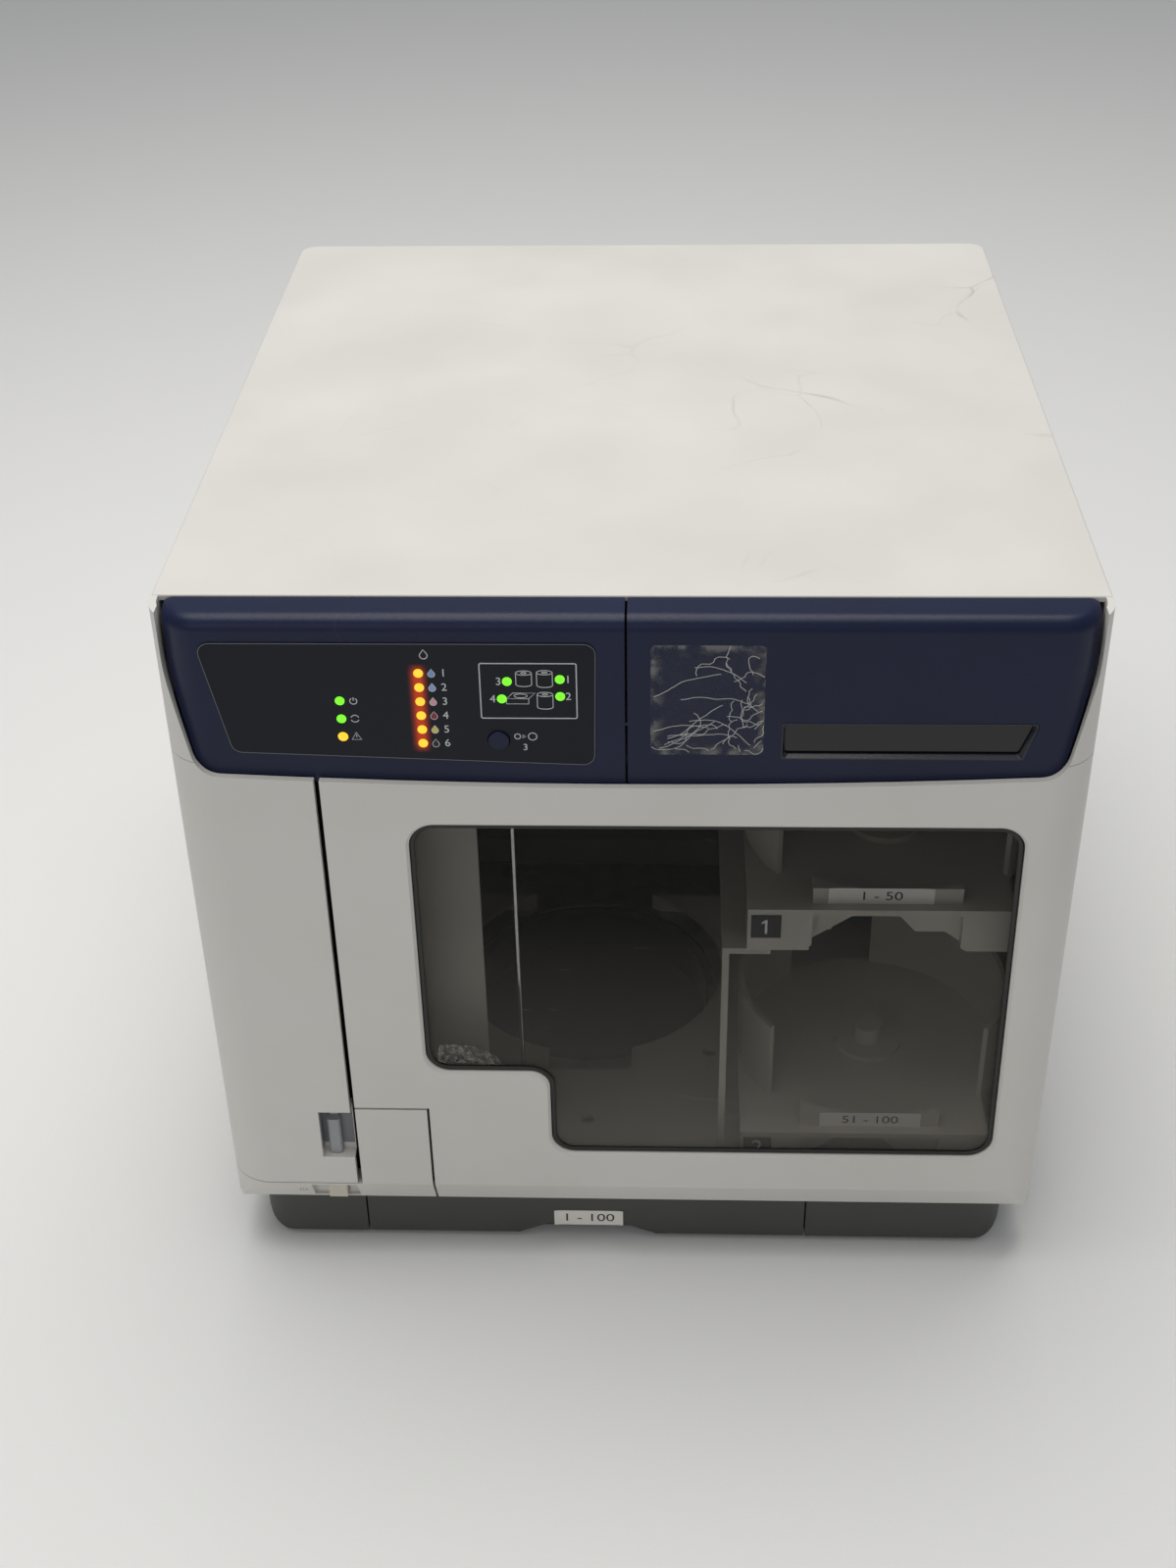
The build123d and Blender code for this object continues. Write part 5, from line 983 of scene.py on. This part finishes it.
def bin_sketch(x, top, tall):
    lid = (arc_points((x, top), (bin_half, bin_half * bin_flat), 0, 360, 24)[:-1], True)
    eye_half = bin_half * 0.35
    eye = (arc_points((x, top), (eye_half, eye_half * bin_flat), 0, 360, 12)[:-1], True)
    sides = [(x - bin_half, top), (x - bin_half, top - tall)]
    sides += arc_points((x, top - tall), (bin_half, bin_half * bin_flat), 180, 360, 12)
    sides += [(x + bin_half, top)]
    return [lid, eye, (sides, False)]


sketch = bin_sketch(-0.0325, 0.3242, 0.0058) + bin_sketch(-0.0325, 0.3142, 0.0058)
sketch += bin_sketch(-0.0407, 0.3240, 0.0052)
sketch.append(([(-0.0478, 0.3122), (-0.0452, 0.3148), (-0.0364, 0.3148), (-0.0390, 0.3122)], True))
sketch.append(([(-0.0478, 0.3122), (-0.0478, 0.3098), (-0.0390, 0.3098), (-0.0390, 0.3122)], False))
sketch.append((arc_points((-0.0421, 0.3135), (0.0026, 0.0009), 0, 360, 16)[:-1], True))
printed_lines("stacker_sketch", sketch, 0.00034, film_y, pale_ink, "housing")

lamp_places = (("1", -0.0233, 0.3210), ("2", -0.0233, 0.3132), ("3", -0.0507, 0.3200), ("4", -0.0532, 0.3120))
for number, x, z in lamp_places:
    front_text("lamp_numeral_" + number, number, (x, numeral_y, z), numeral_height, pale_ink, "housing")

key_sign = [
    (arc_points((-0.0440, 0.2945), (0.0012, 0.0012), 0, 360, 14)[:-1], True),
    (arc_points((-0.0380, 0.2945), (0.0017, 0.0017), 0, 360, 16)[:-1], True),
    ([(-0.0419, 0.2938), (-0.0419, 0.2952), (-0.0408, 0.2945)], True),
]
printed_lines("key_sign", key_sign, sign_line, film_y, pale_ink, "housing")
front_text("key_numeral", "3", (-0.0410, numeral_y, 0.2893), 0.0030, pale_ink, "housing")


# ---- glue left on the right cover ----------------------------------------------------
# A square of old sticker glue: a faint clear film with a ragged edge, and threads of
# dried glue standing on it, thickest down its right side.

glue_left, glue_right, glue_low, glue_high = 0.0090, 0.0540, 0.2860, 0.3365
band_y = -0.2290


def glue_film_material():
    material, nodes, links, surface = start_material("glue_film")
    place = nodes.new("ShaderNodeTexCoord")
    ragged = nodes.new("ShaderNodeTexNoise")
    ragged.inputs["Scale"].default_value = 160.0
    ragged.inputs["Detail"].default_value = 7.0
    links.new(place.outputs["Object"], ragged.inputs["Vector"])
    axes = object_axes(nodes, links)
    edges = []
    for side, low, high in (("X", glue_left, glue_right), ("Z", glue_low, glue_high)):
        middle, half = (low + high) / 2, (high - low) / 2
        from_middle = combine(nodes, links, "SUBTRACT", axes[side], middle)
        reach = combine(nodes, links, "ABSOLUTE", from_middle)
        edges.append(spread(nodes, links, reach, half - 0.006, half - 0.001, 0.0, 1.0))
    rim = combine(nodes, links, "MAXIMUM", *edges)
    torn = spread(nodes, links, ragged.outputs["Fac"], 0.45, 0.62, 0.0, 1.0)
    cover = combine(nodes, links, "MULTIPLY", rim, torn)
    links.new(spread(nodes, links, cover, 0.0, 1.0, 0.05, 0.62), surface.inputs["Alpha"])
    colour = two_tone(nodes, links, ragged.outputs["Fac"], (0.1, 0.1, 0.1), (0.3, 0.3, 0.29))
    links.new(colour, surface.inputs["Base Color"])
    surface.inputs["Roughness"].default_value = 0.3
    add_bump(nodes, links, surface, ragged.outputs["Fac"], 0.0004)
    return material


def glue_sheet(shape):
    corners = [(glue_left, glue_high), (glue_right, glue_high), (glue_right, glue_low), (glue_left, glue_low)]
    loop = rounded_loop([(x, z, 0.002) for x, z in corners], 3)
    shape.faces.new([shape.verts.new((point.x, band_y - 0.00004, point.y)) for point in loop])


mesh_piece("glue_film", glue_sheet, glue_film_material(), "housing")
glue_pale = printing_ink("glue_pale", (0.62, 0.62, 0.6))
glue_seed = random.Random(7)


thread_step = 0.0016


def glue_thread(start, ahead, steps, wander):
    points = [start]
    turn = ahead
    for _ in range(steps):
        turn += glue_seed.uniform(-wander, wander)
        x = points[-1][0] + thread_step * math.cos(turn)
        z = points[-1][1] + thread_step * math.sin(turn)
        if not (glue_left < x < glue_right and glue_low < z < glue_high):
            break
        points.append((x, z))
    return points


def glue_threads():
    lines = []
    for _ in range(9):
        start = (glue_seed.uniform(glue_left, 0.030), glue_seed.uniform(glue_low + 0.002, glue_high - 0.004))
        lines.append(glue_thread(start, glue_seed.uniform(-0.3, 0.3), glue_seed.randint(8, 20), 0.22))
    for _ in range(22):
        start = (glue_seed.uniform(0.038, 0.052), glue_seed.uniform(glue_low + 0.002, glue_high - 0.002))
        lines.append(glue_thread(start, glue_seed.uniform(0, 6.3), glue_seed.randint(5, 14), 0.9))
    for _ in range(6):
        start = (glue_seed.uniform(glue_left, 0.03), glue_low + glue_seed.uniform(0.001, 0.006))
        lines.append(glue_thread(start, glue_seed.uniform(-0.2, 0.5), glue_seed.randint(6, 16), 0.6))
    return [(points, False) for points in lines if len(points) > 2]


printed_lines("glue_threads", glue_threads(), 0.00028, band_y - 0.0001, glue_pale, "housing")


# ---- floor, light and camera ---------------------------------------------------------
# The machine stands on a pale floor under soft studio light. The camera stands where the
# picture was taken from, a little above the machine and close to it.

floor_shape = bmesh.new()
bmesh.ops.create_grid(floor_shape, x_segments=1, y_segments=1, size=4.0)
floor_mesh = bpy.data.meshes.new("floor")
floor_shape.to_mesh(floor_mesh)
floor_shape.free()
floor = bpy.data.objects.new("floor", floor_mesh)
bpy.context.scene.collection.objects.link(floor)
floor_material, floor_nodes, floor_links, floor_surface = start_material("pale_floor")
floor_grain = add_group(floor_nodes, spark_grain, Scale=700.0)
floor_low, floor_high = (0.85, 0.85, 0.84), (0.88, 0.88, 0.87)
floor_tone = two_tone(floor_nodes, floor_links, floor_grain.outputs["Height"], floor_low, floor_high)
floor_links.new(floor_tone, floor_surface.inputs["Base Color"])
floor_rough = spread(floor_nodes, floor_links, floor_grain.outputs["Mottle"], 0.3, 0.7, 0.75, 0.85)
floor_links.new(floor_rough, floor_surface.inputs["Roughness"])
floor_mesh.materials.append(floor_material)

world = bpy.data.worlds.new("studio_air")
world.use_nodes = True
sky = world.node_tree.nodes["Background"]
sky.inputs["Color"].default_value = (0.95, 0.97, 1.0, 1.0)
sky.inputs["Strength"].default_value = 0.3
bpy.context.scene.world = world


def soft_box(name, place, aim, size, power):
    light = bpy.data.lights.new(name, "AREA")
    light.shape = "RECTANGLE"
    light.size, light.size_y = size
    light.energy = power
    light.color = (1.0, 0.98, 0.95)
    lamp = bpy.data.objects.new(name, light)
    lamp.location = place
    lamp.rotation_euler = (Vector(aim) - Vector(place)).to_track_quat("-Z", "Y").to_euler()
    bpy.context.scene.collection.objects.link(lamp)


soft_box("ceiling_box", (-0.15, 0.1, 1.9), (0.0, 0.0, 0.3), (1.8, 1.4), 27.0)
soft_box("front_box", (-0.5, -1.9, 1.1), (0.0, -0.2, 0.2), (1.2, 1.0), 3.0)

photo_height, photo_focus = 1599, 2064.07
sensor = 36.0
camera_place = (0.014277, -0.907386, 0.732059)
camera_yaw, camera_pitch, camera_roll = -0.045, 0.596, -0.020
lens = bpy.data.cameras.new("photo_camera")
lens.sensor_width = sensor
lens.lens = photo_focus * sensor / photo_height
camera = bpy.data.objects.new("photo_camera", lens)
turned = Matrix.Rotation(-camera_yaw, 4, "Z") @ Matrix.Rotation(math.pi / 2 - camera_pitch, 4, "X")
camera.matrix_world = Matrix.Translation(camera_place) @ turned @ Matrix.Rotation(camera_roll, 4, "Z")
bpy.context.scene.collection.objects.link(camera)
bpy.context.scene.camera = camera
bpy.context.scene.view_settings.view_transform = "Standard"
